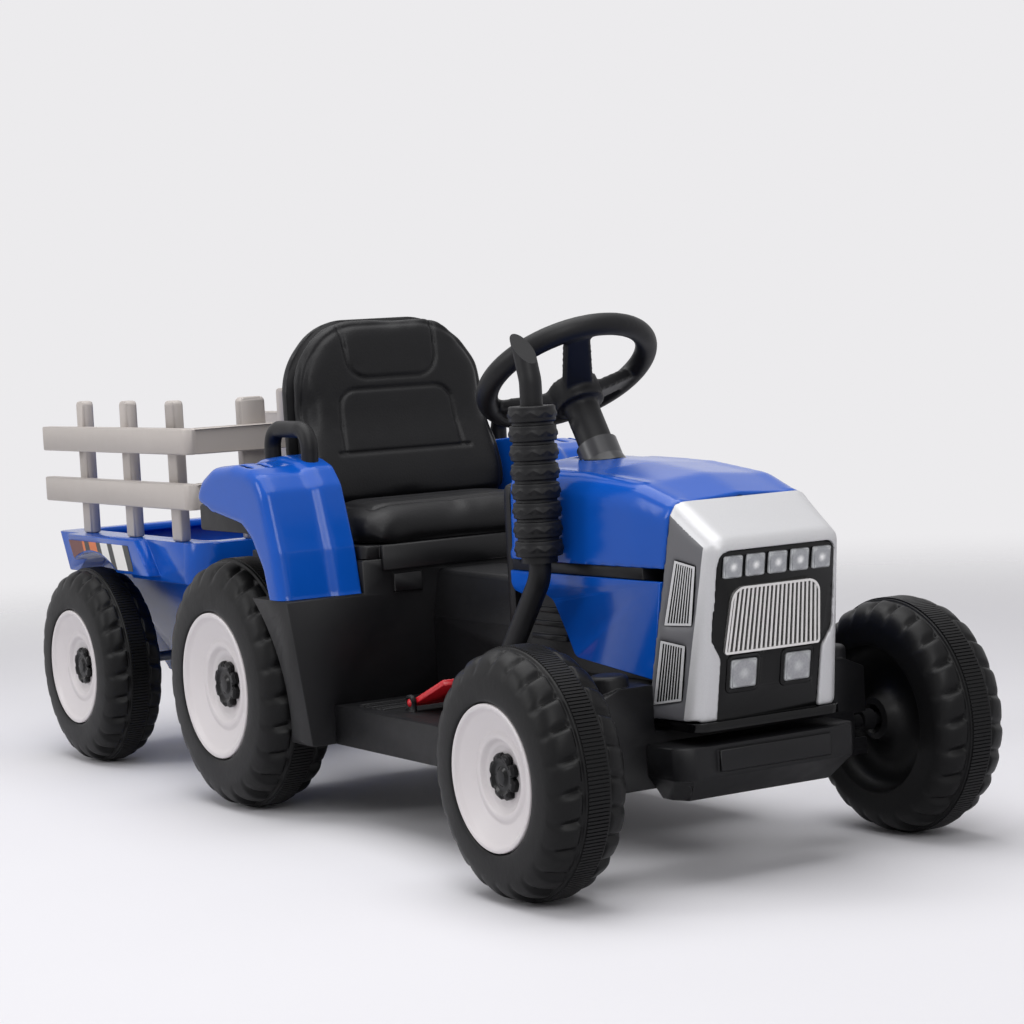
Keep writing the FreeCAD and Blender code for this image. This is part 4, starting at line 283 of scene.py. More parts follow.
def leatherette(name, colour):
    """Embossed vinyl on cloth: small pebbles, a soft sheen and a tone that wanders along its creases."""
    material, tree, place = blank(name, {"IOR": 1.48, "Specular IOR Level": 0.24, "Sheen Weight": 0.04,
                                         "Sheen Roughness": 0.4})
    pebble = add(tree, "TexVoronoi", {"Scale": 1 / (PEBBLE_MM * MM), "Smoothness": 0.6}, {"Vector": place},
                 feature="SMOOTH_F1")
    crease = add(tree, "TexNoise", {"Scale": 1 / (CREASE_MM * MM), "Detail": 5.0}, {"Vector": place})
    tone = add(tree, "ValToRGB", links={"Fac": crease.outputs["Fac"]})
    for end, share in zip(tone.color_ramp.elements, (0.8, 1.3)):
        end.color = shaded(colour, share)
    uneven = add(tree, "MapRange", {"To Min": 0.36, "To Max": 0.5}, {"Value": crease.outputs["Fac"]})
    relief = add(tree, "Bump", {"Strength": 0.35, "Distance": 0.3 * MM},
                 {"Height": pebble.outputs["Distance"]})
    return surfaced(material, tone, uneven, relief)


# Vinyl leatherette, embossed black: the seat pads.
black_vinyl = leatherette("vinyl_embossed_black", "#0F0F11")

# Ripple of the film in millimetres, and the length of its last band.
RIPPLE_MM = 12
LAST_BAND = 20 * MM


def striped_film(name, lean, bands):
    """Printed film: bands of colour, each from its place along the tractor, that lean with the height."""
    material, tree, place = blank(name)
    along = add(tree, "VectorMath", {1: (1.0, 0.0, lean)}, {0: place}, operation="DOT_PRODUCT")
    first, last = bands[0][0], bands[-1][0] + LAST_BAND
    share = add(tree, "MapRange", {"From Min": first, "From Max": last}, {"Value": along.outputs["Value"]})
    tone = add(tree, "ValToRGB", links={"Fac": share.outputs["Result"]})
    ramp = tone.color_ramp
    ramp.interpolation = "CONSTANT"
    ramp.elements.remove(ramp.elements[1])
    ramp.elements[0].color = linear(bands[0][1])
    for start, colour in bands[1:]:
        ramp.elements.new((start - first) / (last - first)).color = linear(colour)
    ripple = add(tree, "TexNoise", {"Scale": 1 / (RIPPLE_MM * MM), "Detail": 2.0}, {"Vector": place})
    uneven = add(tree, "MapRange", {"To Min": 0.28, "To Max": 0.42}, {"Value": ripple.outputs["Fac"]})
    relief = add(tree, "Bump", {"Strength": 0.3, "Distance": 0.05 * MM}, {"Height": ripple.outputs["Fac"]})
    return surfaced(material, tone, uneven, relief)


# Vinyl film, printed in bands: the stripes on the trailer's arches, each from its place at their top edge.
# They lean by a share of the height, which adds the rise at that edge.
STRIPE_LEAN, STRIPE_RISE = 0.47, 0.126
MAROON, ORANGE, BLACK, WHITE = "#5B1D17", "#CF6A2B", "#121214", "#E4E2DF"
STRIPES = [(-0.600, MAROON), (-0.541, ORANGE), (-0.534, BLACK), (-0.520, ORANGE), (-0.498, BLACK),
           (-0.485, WHITE), (-0.464, BLACK), (-0.450, WHITE), (-0.418, BLACK)]
stripe_film = striped_film("vinyl_film_printed_stripes", STRIPE_LEAN,
                           [(STRIPE_RISE + x, colour) for x, colour in STRIPES])

SLOT_FINISH = {
    "blue_gloss_plastic": blue_abs, "black_satin_plastic": black_pp, "black_gloss_plastic": black_abs,
    "silver_paint": silver_paint, "chrome_plating": chrome, "lamp_plastic": lamp_acrylic,
    "tyre_plastic": tyre_pe, "rim_grey_plastic": rim_pp, "fence_grey_plastic": fence_pp,
    "red_plastic": red_pp, "seat_leatherette": black_vinyl, "steel_plated": zinc_steel,
    "motor_steel": motor_steel,
}
SLOT_OF = {row["node"]: row["material_slot"] for row in frame["record"]["subparts"]}
BODY_OF = {node: body for body, members in frame["record"]["behaviour"]["bodies"].items() for node in members}
for node_name, node_object in frame["nodes"].items():
    for holder in node_object.material_slots:
        holder.material = SLOT_FINISH[SLOT_OF[node_name]]
frame["nodes"]["column_collar"].material_slots[0].material = column_abs


# Ways to make, place and fit a piece.

def turned(name, rings, columns, upright=False):
    """A skin turned round an axle: a circle pulled through rings, each a place on the axle and a radius."""
    deselect()
    axle = (0, 0, 1) if upright else (0, 1, 0)
    start, radius = rings[0]
    bpy.ops.mesh.primitive_circle_add(vertices=columns, radius=radius, location=[start * a for a in axle],
                                      rotation=(0, 0, 0) if upright else (math.pi / 2, 0, 0))
    piece = named(name)
    bpy.ops.object.mode_set(mode="EDIT")
    bpy.ops.mesh.select_all(action="SELECT")
    for (y0, r0), (y1, r1) in zip(rings, rings[1:]):
        bpy.ops.mesh.extrude_region_move(TRANSFORM_OT_translate={"value": [(y1 - y0) * a for a in axle]})
        bpy.ops.transform.resize(value=[1 if a else r1 / r0 for a in axle],
                                 center_override=[y1 * a for a in axle])
    done()
    return piece


def sewn(piece):
    """Joins the two open ends of a turned skin."""
    pick(piece, lambda e: False, "EDGE")
    bpy.ops.mesh.select_non_manifold()
    bpy.ops.mesh.bridge_edge_loops()
    done()
    return outward(piece)


def plugged(piece):
    """Fills the open ends of a turned skin."""
    pick(piece, lambda v: True, "VERT")
    bpy.ops.mesh.fill_holes(sides=0)
    done()
    return outward(piece)


def spot_column(spot, columns):
    """Which of the columns round the axle a point is in."""
    return round(math.atan2(spot.x, spot.z) / math.tau * columns) % columns


def joined(piece, *others):
    """Puts other pieces into one."""
    only(piece)
    for other in others:
        other.select_set(True)
    bpy.ops.object.join()
    return piece


def twin(piece, name):
    """The same piece on the other side of the tractor, with a mesh of its own."""
    copy = piece.copy()
    copy.data = piece.data.copy()
    copy.name = copy.data.name = name
    bpy.context.scene.collection.objects.link(copy)
    only(copy)
    copy.scale = (1, -1, 1)
    bpy.ops.object.transform_apply(location=False, rotation=False, scale=True)
    return outward(copy)


def moved(piece, place, turn=(0, 0, 0)):
    """Turns and places a piece, with both put into its mesh."""
    only(piece)
    piece.rotation_euler = turn
    piece.location = place
    bpy.ops.object.transform_apply(location=True, rotation=True, scale=True)
    return piece


def fitted(piece, body, slot, finish, *nodes):
    """Gives a piece its finish and its body, and hides the nodes that it stands for."""
    if finish:
        dress(piece, finish)
    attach(piece, body)
    if nodes:
        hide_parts(*nodes)
    return piece


def stand_in(piece, node, finish=None):
    """Fits a piece in the place of a node, with the node's body and the finish of its slot, or a finish of its
    own.
    """
    slot = SLOT_OF[node]
    return fitted(piece, BODY_OF[node], slot, finish or SLOT_FINISH[slot], node)


# Wheels. Each is made with its outer face at y = 0 and its axle along +Y, then set in its place and mirrored.

# The rim's radius as a share of the tyre's.
RIM_SHARE = 0.585
TYRE_BORE = 6.1 * MM
LUGS, LUG_COLUMNS, BAND_RIBS = 24, 7, 100
# Half of a tyre's section from rim seat to ribbed band: shares of its width and of its radius.
TYRE_HALF = [(0.03, RIM_SHARE), (0.006, 0.597), (0.0, 0.63), (0.0, 0.7), (0.008, 0.765), (0.014, 0.8),
             (0.026, 0.83), (0.048, 0.872), (0.086, 0.914), (0.135, 0.943), (0.2, 0.965), (0.27, 0.977),
             (0.305, 0.98), (0.312, 0.964), (0.334, 0.964), (0.341, 0.988), (0.355, 0.988)]
# The hollow at the back: shares of the width and of the radius. The rim's seat: a share of the width.
HOLLOW = [(1, 0.62), (0.7, 0.62), (0.7, 0.2), (1, 0.2)]
RIM_SEAT = 0.34
LUG_RINGS = range(6, 13)
# Heights across one lug: the gap, its sharp crest and the slope down to the next gap.
LUG_HEIGHTS = (0.93, 1.003, 1.003, 1.0, 0.995, 0.989, 0.982)
# Share of those heights at each ring, from the sidewall to the band.
LUG_SHARES = (0.25, 0.4, 0.6, 0.85, 1.0, 1.0, 1.0)
LUG_SLANT = math.tan(math.radians(14))
# Columns by which the lugs of one shoulder are set off from the other's.
LUG_OFFSET = 2
# Section of the band: shares of the width and of the radius.
BAND = [(0.36, 0.962), (0.36, 0.98), (0.64, 0.98), (0.64, 0.962)]
# Ribs of the band: they stand outside a share of the radius, and their height is a share too.
BAND_FACE, RIB_HEIGHT, RIB_TAPER = 0.976, 0.019, 0.5 * MM


def tyre(name, radius, width):
    """Blown tyre: smooth sidewall, soft slanted lugs on both shoulders and a ribbed band round the middle."""
    half = [(width * a, radius * r) for a, r in TYRE_HALF]
    back = [(width - y, r) for y, r in reversed(half[2:])]
    inside = [(width * a, radius * r) for a, r in HOLLOW]
    inside += [(width, TYRE_BORE), (width * RIM_SEAT, TYRE_BORE), (width * RIM_SEAT, radius * RIM_SHARE)]
    columns = LUGS * LUG_COLUMNS
    piece = sewn(turned(name, half + back + inside, columns))
    for side, shift in ((0, 0), (1, LUG_OFFSET)):
        lug_rings = [(abs(side * width - half[i][0]), half[i][1]) for i in LUG_RINGS]

        def ring_number(spot):
            reach = math.hypot(spot.x, spot.z)
            for number, (y, r) in enumerate(lug_rings):
                if abs(spot.y - y) < 0.2 * MM and abs(reach - r) < 0.4 * MM:
                    return number
            return None

        numbers = [(ring_number(v.co), (spot_column(v.co, columns) + shift) % LUG_COLUMNS)
                   for v in piece.data.vertices]
        for column, height in enumerate(LUG_HEIGHTS):
            for number, share in enumerate(LUG_SHARES):
                factor = 1 + (height - 1) * share
                pick(piece, lambda v: numbers[v.index] == (number, column), "VERT")
                bpy.ops.transform.resize(value=(factor, 1, factor), center_override=(0, 0, 0))
                done()
        for number in range(len(lug_rings)):
            run = half[LUG_RINGS[-1]][0] - half[LUG_RINGS[number]][0]
            pick(piece, lambda v: numbers[v.index][0] == number, "VERT")
            bpy.ops.transform.rotate(value=-LUG_SLANT * run / radius, orient_axis="Y",
                                     center_override=(0, 0, 0))
            done()
    modify(piece, "SUBSURF", levels=1, render_levels=1)
    band = sewn(turned(name + "_band", [(width * a, radius * r) for a, r in BAND], BAND_RIBS * 2))
    step = math.tau / (BAND_RIBS * 2)
    pick(band, lambda f: math.hypot(f.center.x, f.center.z) > radius * BAND_FACE
         and int(math.atan2(f.center.x, f.center.z) % math.tau / step) % 2 == 0)
    bpy.ops.mesh.inset(thickness=RIB_TAPER, depth=radius * RIB_HEIGHT, use_individual=True)
    done()
    joined(piece, band)
    return smooth(piece, 42)


# Sections of the rim disc: shares of the tyre's width and of the rim's radius.
RIM_FRONT = [(0.0, 1.0), (0.0, 0.94), (0.02, 0.92), (0.05, 0.885), (0.15, 0.63), (0.13, 0.58), (0.13, 0.52),
             (0.19, 0.47), (0.2, 0.42), (0.22, 0.38), (0.22, 0.19)]
RIM_BACK = [(0.34, 0.19), (0.34, 0.45), (0.28, 0.5), (0.21, 0.6), (0.11, 0.9), (0.13, 0.95), (0.13, 1.0)]
RIM_GAP = 0.5 * MM


def rim(name, radius, width):
    """Dished rim disc with a raised ring round its hub."""
    edge = radius * RIM_SHARE - RIM_GAP
    piece = sewn(turned(name, [(width * a, edge * r) for a, r in RIM_FRONT + RIM_BACK], 72))
    rolled(piece, 1.4 * MM, 3, 12)
    return smooth(piece, 50)


# The cap: shares of the tyre's width at its face and seat, of the rim's radius at its edge and knob.
CAP_FACE, CAP_SEAT, CAP_EDGE, CAP_KNOB = 0.14, 0.22, 0.32, 0.14
CAP_LOBES = 8
CAP_COLUMNS = 64
# How far the cap's edge is drawn in at each column from the middle of a notch.
NOTCH_SHARES = (0.8, 0.92)


def hub_cap(name, radius, width):
    """Cap with eight lobes, a ring and a low knob."""
    edge = radius * RIM_SHARE
    face, seat = width * CAP_FACE, width * CAP_SEAT
    third = face + (seat - face) / 3
    outer, knob = edge * CAP_EDGE, edge * CAP_KNOB
    rings = [(seat, outer), (third, outer), (face, outer * 0.9), (face, knob * 1.75), (third, knob * 1.4),
             (third, knob), (face, knob * 0.7), (face, knob * 0.1)]
    piece = plugged(turned(name, rings, CAP_COLUMNS))
    lobe = CAP_COLUMNS // CAP_LOBES
    for near, factor in enumerate(NOTCH_SHARES):
        pick(piece, lambda v: math.hypot(v.co.x, v.co.z) > outer * 0.85
             and spot_column(v.co, CAP_COLUMNS) % lobe in (near, (lobe - near) % lobe), "VERT")
        bpy.ops.transform.resize(value=(factor, 1, factor), center_override=(0, 0, 0))
        done()
    pick(piece, lambda f: abs(f.normal.y) > 0.9 and outer * 0.6 < math.hypot(f.center.x, f.center.z) < outer
         and spot_column(f.center, CAP_COLUMNS) % 4 == 2)
    bpy.ops.mesh.inset(thickness=0.3 * MM, depth=-0.8 * MM, use_individual=True)
    done()
    rolled(piece, 0.4 * MM, 2, 28)
    return smooth(piece, 40)


JOINT_PLACE = {joint["name"]: joint["pos_m"] for joint in frame["joints"]}
TYRE_WIDTHS = {"front": 80 * MM, "rear": 86 * MM, "trailer": 74 * MM}
for axle, tyre_width in TYRE_WIDTHS.items():
    axle_x, middle_y, axle_height = JOINT_PLACE[axle + "_right_roll"]
    for kind, make in (("tyre", tyre), ("rim", rim), ("hub_cap", hub_cap)):
        right_node, left_node = ("%s_%s_%s" % (axle, side, kind) for side in ("right", "left"))
        right_piece = moved(make(right_node + "_shaped", axle_height, tyre_width),
                            (axle_x, middle_y - tyre_width / 2, axle_height))
        left_piece = twin(right_piece, left_node + "_shaped")
        stand_in(right_piece, right_node)
        stand_in(left_piece, left_node)


# Pieces made from a copy of the CAD shape.

def copied(node, name):
    """A merged copy of a node's mesh as a piece of its own."""
    mesh = frame["nodes"][node].data.copy()
    mesh.name = name
    piece = bpy.data.objects.new(name, mesh)
    bpy.context.scene.collection.objects.link(piece)
    return outward(piece)


def plain_faces(piece):
    """Joins the triangles of each flat face."""
    pick(piece, lambda f: True)
    bpy.ops.mesh.dissolve_limited(angle_limit=math.radians(0.4))
    done()


def rod(start, end, radius):
    """A round bar between two points."""
    deselect()
    way = end - start
    bpy.ops.mesh.primitive_cylinder_add(vertices=24, radius=radius, depth=way.length,
                                        location=(start + end) / 2,
                                        rotation=way.to_track_quat("Z", "Y").to_euler())
    return named("rod")


def softened(node, name, voxel, passes, free=None, more=0, bars=()):
    """A blown or moulded form whose edges and joints run into each other, more so in the places set free."""
    piece = joined(copied(node, name), *(rod(*bar) for bar in bars))
    modify(piece, "REMESH", mode="VOXEL", voxel_size=voxel)
    modify(piece, "SMOOTH", factor=0.5, iterations=passes)
    if free:
        group = piece.vertex_groups.new(name="free")
        group.add([v.index for v in piece.data.vertices if free(v.co)], 1.0, "REPLACE")
        modify(piece, "SMOOTH", factor=0.5, iterations=more, vertex_group="free")
    return smooth(piece, 70)


def eased(node, name, width):
    """A moulding whose sharp edges are rolled over by a small radius."""
    piece = copied(node, name)
    plain_faces(piece)
    rolled(piece, width, 2, 30, use_clamp_overlap=False, harden_normals=True)
    return smooth(piece, 40)


stand_in(softened("steering_wheel", "steering_wheel_shaped", 2.0 * MM, 5), "steering_wheel")


# Seat pads.

def pulled_in(corners, amount):
    """Corners of a convex outline moved inwards."""
    count = len(corners)
    area = sum(corners[i - 1][0] * corners[i][1] - corners[i][0] * corners[i - 1][1] for i in range(count))
    turn = math.copysign(amount, area)
    result = []
    for i in range(count):
        a, b, c = (Vector(corners[j % count]) for j in (i - 1, i, i + 1))
        first, second = (b - a).normalized(), (c - b).normalized()
        one, two = Vector((-first.y, first.x)), Vector((-second.y, second.x))
        result.append(b + (one + two) * (turn / (1 + one.dot(two))))
    return result


def outline_gap(spot, corners, rounding):
    """Distance from a point to an outline with rounded corners, negative inside it."""
    inner = pulled_in(corners, rounding)
    nearest, inside = 1.0, False
    for i in range(len(inner)):
        a, b = inner[i - 1], inner[i]
        along = b - a
        share = held((spot - a).dot(along) / along.length_squared)
        nearest = min(nearest, (spot - a - along * share).length)
        if (a.y > spot.y) != (b.y > spot.y) and spot.x < a.x + (spot.y - a.y) / along.y * along.x:
            inside = not inside
    return (-nearest if inside else nearest) - rounding


def groove(gap, depth, half):
    """Depth of a sewn seam at a distance from its line."""
    return depth * math.exp(-((gap / half) ** 2))


PAD_VOXEL, PAD_SHRINK, PAD_CAP = 4 * MM, 1.5 * MM, 5 * MM
CLOTH_FRAMES, CLOTH_PRESSURE = 20, 4


def swollen(piece, keep):
    """Stuffed pad: a form drawn in a little, blown up as cloth, held to a cap and kept where it rests."""
    modify(piece, "REMESH", mode="VOXEL", voxel_size=PAD_VOXEL)
    modify(piece, "DISPLACE", strength=-PAD_SHRINK, mid_level=0)
    rest = [v.co.copy() for v in piece.data.vertices]
    only(piece)
    cloth = piece.modifiers.new("cloth", "CLOTH")
    cloth.settings.use_pressure = True
    cloth.settings.uniform_pressure_force = CLOTH_PRESSURE
    cloth.settings.effector_weights.gravity = 0
    for number in range(1, CLOTH_FRAMES + 1):
        bpy.context.scene.frame_set(number)
    bpy.ops.object.modifier_apply(modifier="cloth")
    bpy.context.scene.frame_set(1)
    for vertex, spot in zip(piece.data.vertices, rest):
        move = vertex.co - spot
        if move.length > PAD_CAP:
            move = move.normalized() * PAD_CAP
        vertex.co = spot if keep(spot) else spot + move
    modify(piece, "SMOOTH", factor=0.5, iterations=9)
    modify(piece, "SUBSURF", levels=1, render_levels=1)
    smooth(piece, 80)


# The back: its foot, its lean, and its outlines as places across it and up it.
BACK_FOOT = Vector((-0.036, 0, 0.284))
BACK_LEAN = math.radians(8)
BACK_UP = Vector((-math.sin(BACK_LEAN), 0, math.cos(BACK_LEAN)))
BACK_OUT = Vector((math.cos(BACK_LEAN), 0, math.sin(BACK_LEAN)))
BACK_EDGE = [(0.121, -0.05), (0.124, 0.0853), (0.118, 0.186), (0.072, 0.237),
             (-0.072, 0.237), (-0.118, 0.186), (-0.124, 0.0853), (-0.121, -0.05)]
HEAD_PANEL = [(0.054, 0.168), (0.060, 0.27), (-0.060, 0.27), (-0.054, 0.168)]
LUMBAR_PANEL = [(0.074, 0.070), (0.068, 0.156), (-0.068, 0.156), (-0.074, 0.070)]
BACK_ROUND, HEAD_ROUND, LUMBAR_ROUND = 0.078, 0.024, 0.020
# Seams: their half widths and depths, and where the edge seam, cross seam and lumbar seam lie.
SEAM_HALF, EDGE_SEAM_HALF = 2.2 * MM, 2.4 * MM
EDGE_SEAM, HEAD_SEAM, LUMBAR_SEAM = 1.6 * MM, 2.8 * MM, 2.6 * MM
EDGE_SEAM_IN = 11 * MM
CROSS_SEAM_UP, CROSS_SEAM_REACH, LUMBAR_SEAM_FROM = 0.087, 0.082, 0.088
# The pad's sides: how deep they rest on the shell, fill its outline, and turn into the face.
REST_DEPTH, FILL_DEPTH, FACE_DEPTH, FACE_RUN = 2 * MM, 5 * MM, 10 * MM, 16 * MM
# To fill the outline of its shell the pad spreads from its middle by these shares, more at its face.
PAD_MIDDLE = 0.115
PAD_SPREAD, FACE_SPREAD = 0.035, 0.075
# The foot of the back rolls forward onto the cushion, its wings a little more.
ROLL_TOP, ROLL_RUN, ROLL_FOOT = 0.135, 0.08, 0.02
WING_FROM, WING_RUN = 0.055, 0.06
ROLL_REACH, WING_REACH = 10 * MM, 10 * MM


def seat_back():
    """Back pad with a seam inside its edge, one round the head panel and one round the lumbar panel."""
    piece = copied("seat_back_pad", "seat_back_padded")
    swollen(piece, lambda p: (p - BACK_FOOT).dot(BACK_OUT) < REST_DEPTH)
    for vertex in piece.data.vertices:
        spot = vertex.co - BACK_FOOT
        depth = spot.dot(BACK_OUT)
        spread = PAD_SPREAD * held(depth / FILL_DEPTH) + FACE_SPREAD * held((depth - FACE_DEPTH) / FACE_RUN)
        flat = Vector((spot.y * (1 + spread), spot.dot(BACK_UP)))
        flat.y += max(flat.y - PAD_MIDDLE, 0) * spread
        vertex.co = BACK_FOOT + BACK_OUT * depth + BACK_UP * flat.y + Vector((0, flat.x, 0))
        if depth < FACE_DEPTH:
            continue
        press = groove(outline_gap(flat, BACK_EDGE, BACK_ROUND) + EDGE_SEAM_IN, EDGE_SEAM, EDGE_SEAM_HALF)
        press += groove(outline_gap(flat, HEAD_PANEL, HEAD_ROUND), HEAD_SEAM, SEAM_HALF)
        if flat.y > LUMBAR_SEAM_FROM:
            press += groove(outline_gap(flat, LUMBAR_PANEL, LUMBAR_ROUND), LUMBAR_SEAM, SEAM_HALF)
        if abs(flat.x) < CROSS_SEAM_REACH:
            press += groove(flat.y - CROSS_SEAM_UP, LUMBAR_SEAM, SEAM_HALF)
        roll = held((ROLL_TOP - flat.y) / ROLL_RUN)
        roll = roll * roll * (3 - 2 * roll) * held((flat.y - ROLL_FOOT) / ROLL_FOOT)
        wing = held((abs(flat.x) - WING_FROM) / WING_RUN)
        vertex.co += BACK_OUT * (roll * (ROLL_REACH + WING_REACH * wing * wing) - press)
    return piece


# The cushion's seam, and how its front rolls over the lip of the pan.
CUSHION_ROUND = 0.03
CUSHION_SEAM, CUSHION_SEAM_IN = 2.0 * MM, 26 * MM
CUSHION_REST, CUSHION_SIDE = 3 * MM, 20 * MM
FRONT_ROLL, FRONT_REACH, FRONT_DROP = 26 * MM, 9 * MM, 10 * MM


def seat_base():
    """Seat cushion with a rolled front and a seam inside its edge."""
    piece = copied("seat_cushion", "seat_cushion_padded")
    low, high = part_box("seat_cushion")
    swollen(piece, lambda p: p.z < low[2] + CUSHION_REST)
    edge = [(low[0], low[1]), (high[0], low[1]), (high[0], high[1]), (low[0], high[1])]
    for spot in points(piece):
        if spot.z < low[2] + CUSHION_SIDE:
            continue
        gap = outline_gap(spot.xy, edge, CUSHION_ROUND)
        spot.z -= groove(gap + CUSHION_SEAM_IN, CUSHION_SEAM, EDGE_SEAM_HALF)
    for spot in points(piece):
        ahead = held((spot.x - high[0] + FRONT_ROLL) / FRONT_ROLL)
        sunk = 1 - held((spot.z - low[2]) / (high[2] - low[2]))
        spot.x += FRONT_REACH * ahead
        spot.z -= FRONT_DROP * sunk * max(ahead * 2 - 1, 0)
    return piece


stand_in(seat_back(), "seat_back_pad")
stand_in(seat_base(), "seat_cushion")


# Exhaust sleeve.

SLEEVE_FOOT = (0.438, -0.118, 0.290)
# In millimetres: the bore, the pitch of the rings, and one ring from its foot up as heights and radii.
SLEEVE_BORE, SLEEVE_PITCH = 10.7, 17.75
SLEEVE_RING = [(0, 20.8), (1, 22), (4, 22), (7.4, 23.4), (10.8, 22), (13.75, 22), (14.75, 20.8)]
SLEEVE_GAP = [(14.95, 19.4), (17.55, 19.4)]
SLEEVE_RINGS, SLEEVE_COLUMNS = 8, 40
# The ridge lies outside this radius and goes up and down by the zigzag.
RIDGE_FROM, ZIGZAG = 23 * MM, 2.0 * MM


def exhaust_sleeve():
    """Eight rings, each with a zigzag ridge."""
    skin = [(0, SLEEVE_BORE)]
    for i in range(SLEEVE_RINGS):
        skin += [(SLEEVE_PITCH * i + z, r) for z, r in SLEEVE_RING + SLEEVE_GAP]
    skin[-len(SLEEVE_GAP):] = [(skin[-len(SLEEVE_GAP) - 1][0], SLEEVE_BORE)]
    rings = [(z * MM, r * MM) for z, r in skin]
    piece = sewn(turned("exhaust_sleeve_ringed", rings, SLEEVE_COLUMNS, True))
    for turn, lift in ((0, ZIGZAG), (2, -ZIGZAG)):
        pick(piece, lambda v: math.hypot(v.co.x, v.co.y) > RIDGE_FROM
             and round(math.atan2(v.co.y, v.co.x) / math.tau * SLEEVE_COLUMNS) % 4 == turn, "VERT")
        bpy.ops.transform.translate(value=(0, 0, lift))
        done()
    rolled(piece, 0.5 * MM, 2, 25)
    smooth(piece, 45)
    return moved(piece, SLEEVE_FOOT)


stand_in(exhaust_sleeve(), "exhaust_sleeve")


# Lamps, drawn on an upright face and then leaned with the nose.

NOSE_FOOT = (0.621, 0, 0.146)
NOSE_LEAN = math.atan2(0.029, 0.160)
PANE_BACK, PANE_THICK, PANE_ROUND = -3.0 * MM, 2.4 * MM, 2 * MM
PANE_FRAME, PANE_STEP, PANE_SINK = 1.2 * MM, 0.6 * MM, 0.7 * MM


def lens(name, middle, low, width, height):
    """One square lamp: a thick pane with rounded corners, set in the leaning face of the nose."""
    deselect()
    bpy.ops.mesh.primitive_plane_add(size=1, rotation=(0, math.pi / 2, 0),
                                     location=(PANE_BACK, middle, low + height / 2))
    bpy.context.active_object.scale = (height, width, 1)
    pane = named(name)
    pick(pane, lambda f: True)
    bpy.ops.mesh.extrude_region_move(TRANSFORM_OT_translate={"value": (PANE_THICK, 0, 0)})
    done()
    outward(pane)
    spots = pane.data.vertices
    pick(pane, lambda e: abs((spots[e.vertices[0]].co - spots[e.vertices[1]].co).x) > PANE_THICK / 2, "EDGE")
    bpy.ops.mesh.bevel(offset=PANE_ROUND, segments=3, affect="EDGES")
    done()
    pick(pane, lambda f: f.normal.x > 0.9)
    bpy.ops.mesh.inset(thickness=PANE_FRAME, depth=0.0)
    bpy.ops.mesh.inset(thickness=PANE_STEP, depth=-PANE_SINK)
    done()
    rolled(pane, 0.4 * MM, 2, 30)
    smooth(pane, 40)
    chart = pane.data.uv_layers.active or pane.data.uv_layers.new(name="lens")
    for corner in pane.data.loops:
        spot = pane.data.vertices[corner.vertex_index].co
        chart.data[corner.index].uv = ((spot.y - middle) / width + 0.5, (spot.z - low) / height)
    return moved(pane, NOSE_FOOT, (0, NOSE_LEAN, 0))


LAMP_PITCH, LAMP_LOW, LAMP_SIZE = 24.4 * MM, 129.5 * MM, 20 * MM
FOG_SIDE, FOG_LOW, FOG_WIDTH, FOG_HEIGHT = 30 * MM, 28 * MM, 28 * MM, 26 * MM
for number in range(5):
    lamp_pane = lens("lamp_lens_%d" % number, (number - 2) * LAMP_PITCH, LAMP_LOW, LAMP_SIZE, LAMP_SIZE)
    stand_in(lamp_pane, "lamp_lenses")
for number, side in enumerate((-1, 1)):
    fog_pane = lens("fog_lens_%d" % number, side * FOG_SIDE, FOG_LOW, FOG_WIDTH, FOG_HEIGHT)
    stand_in(fog_pane, "lamp_lenses", fog_acrylic)


# Nose: silver with a grey field on each side, and side grilles with bright bars before a black plate.

# Half width of the nose and height, at its foot and at its top.
NOSE_LOW, NOSE_TOP = (83 * MM, 0.146), (70 * MM, 0.338)
# Edges of the grey field: a point on each and its direction out of the field.
FIELD_EDGES = ((Vector((0.606, 0, 0.146)), Vector((0.160, 0, -0.029)).normalized()),
               (Vector((0.593, 0, 0.325)), Vector((0.032, 0, 0.057)).normalized()))
# Rear edge of the nose: its place at the foot and how far it leans forward with the height.
NOSE_REAR, NOSE_REAR_LEAN = 0.558, 0.1823
# How far the rear of the nose spreads, over which run, and from which half width and height on.
FLUSH_RUN, FLUSH_OUT, FLUSH_HALF = 50 * MM, 6 * MM, 60 * MM
FLUSH_UP, FLUSH_FROM, FLUSH_RISE = 4 * MM, 0.29, 40 * MM
# Bars that thicken the thin inside of the rounded edges, on the left side.
NOSE_BARS = [((0.6136, 0.0754, 0.152), (0.6412, 0.0652, 0.300), 3.5 * MM),
             ((0.5920, 0.0633, 0.3310), (0.6412, 0.0652, 0.3025), 3.5 * MM)]


def side_depth(spot):
    """How far a point lies inside the side skin of the nose."""
    share = (spot.z - NOSE_LOW[1]) / (NOSE_TOP[1] - NOSE_LOW[1])
    return NOSE_LOW[0] + (NOSE_TOP[0] - NOSE_LOW[0]) * share - abs(spot.y)


def on_side(face):
    return face.normal.y * math.copysign(1, face.center.y) > 0.9 and side_depth(face.center) < 0.8 * MM


def painted(piece, base, other, test):
    """Gives a piece one finish, and another on the faces that pass a test."""
    dress(piece, base)
    piece.data.materials.append(other)
    for face in piece.data.polygons:
        face.material_index = 1 if test(face) else 0


def ahead_of_seam(spot):
    """How far a point lies ahead of the rear edge of the nose."""
    return spot.x - NOSE_REAR - (spot.z - NOSE_LOW[1]) * NOSE_REAR_LEAN


def flushed(piece):
    """Spreads the rear of the nose out to the skin of the bonnet and the side panels."""
    for spot in points(piece):
        share = held(1 - ahead_of_seam(spot) / FLUSH_RUN)
        out = FLUSH_OUT * share * min(abs(spot.y) / FLUSH_HALF, 1)
        spot.y += math.copysign(out, spot.y)
        spot.z += FLUSH_UP * share * held((spot.z - FLUSH_FROM) / FLUSH_RISE)
    return piece


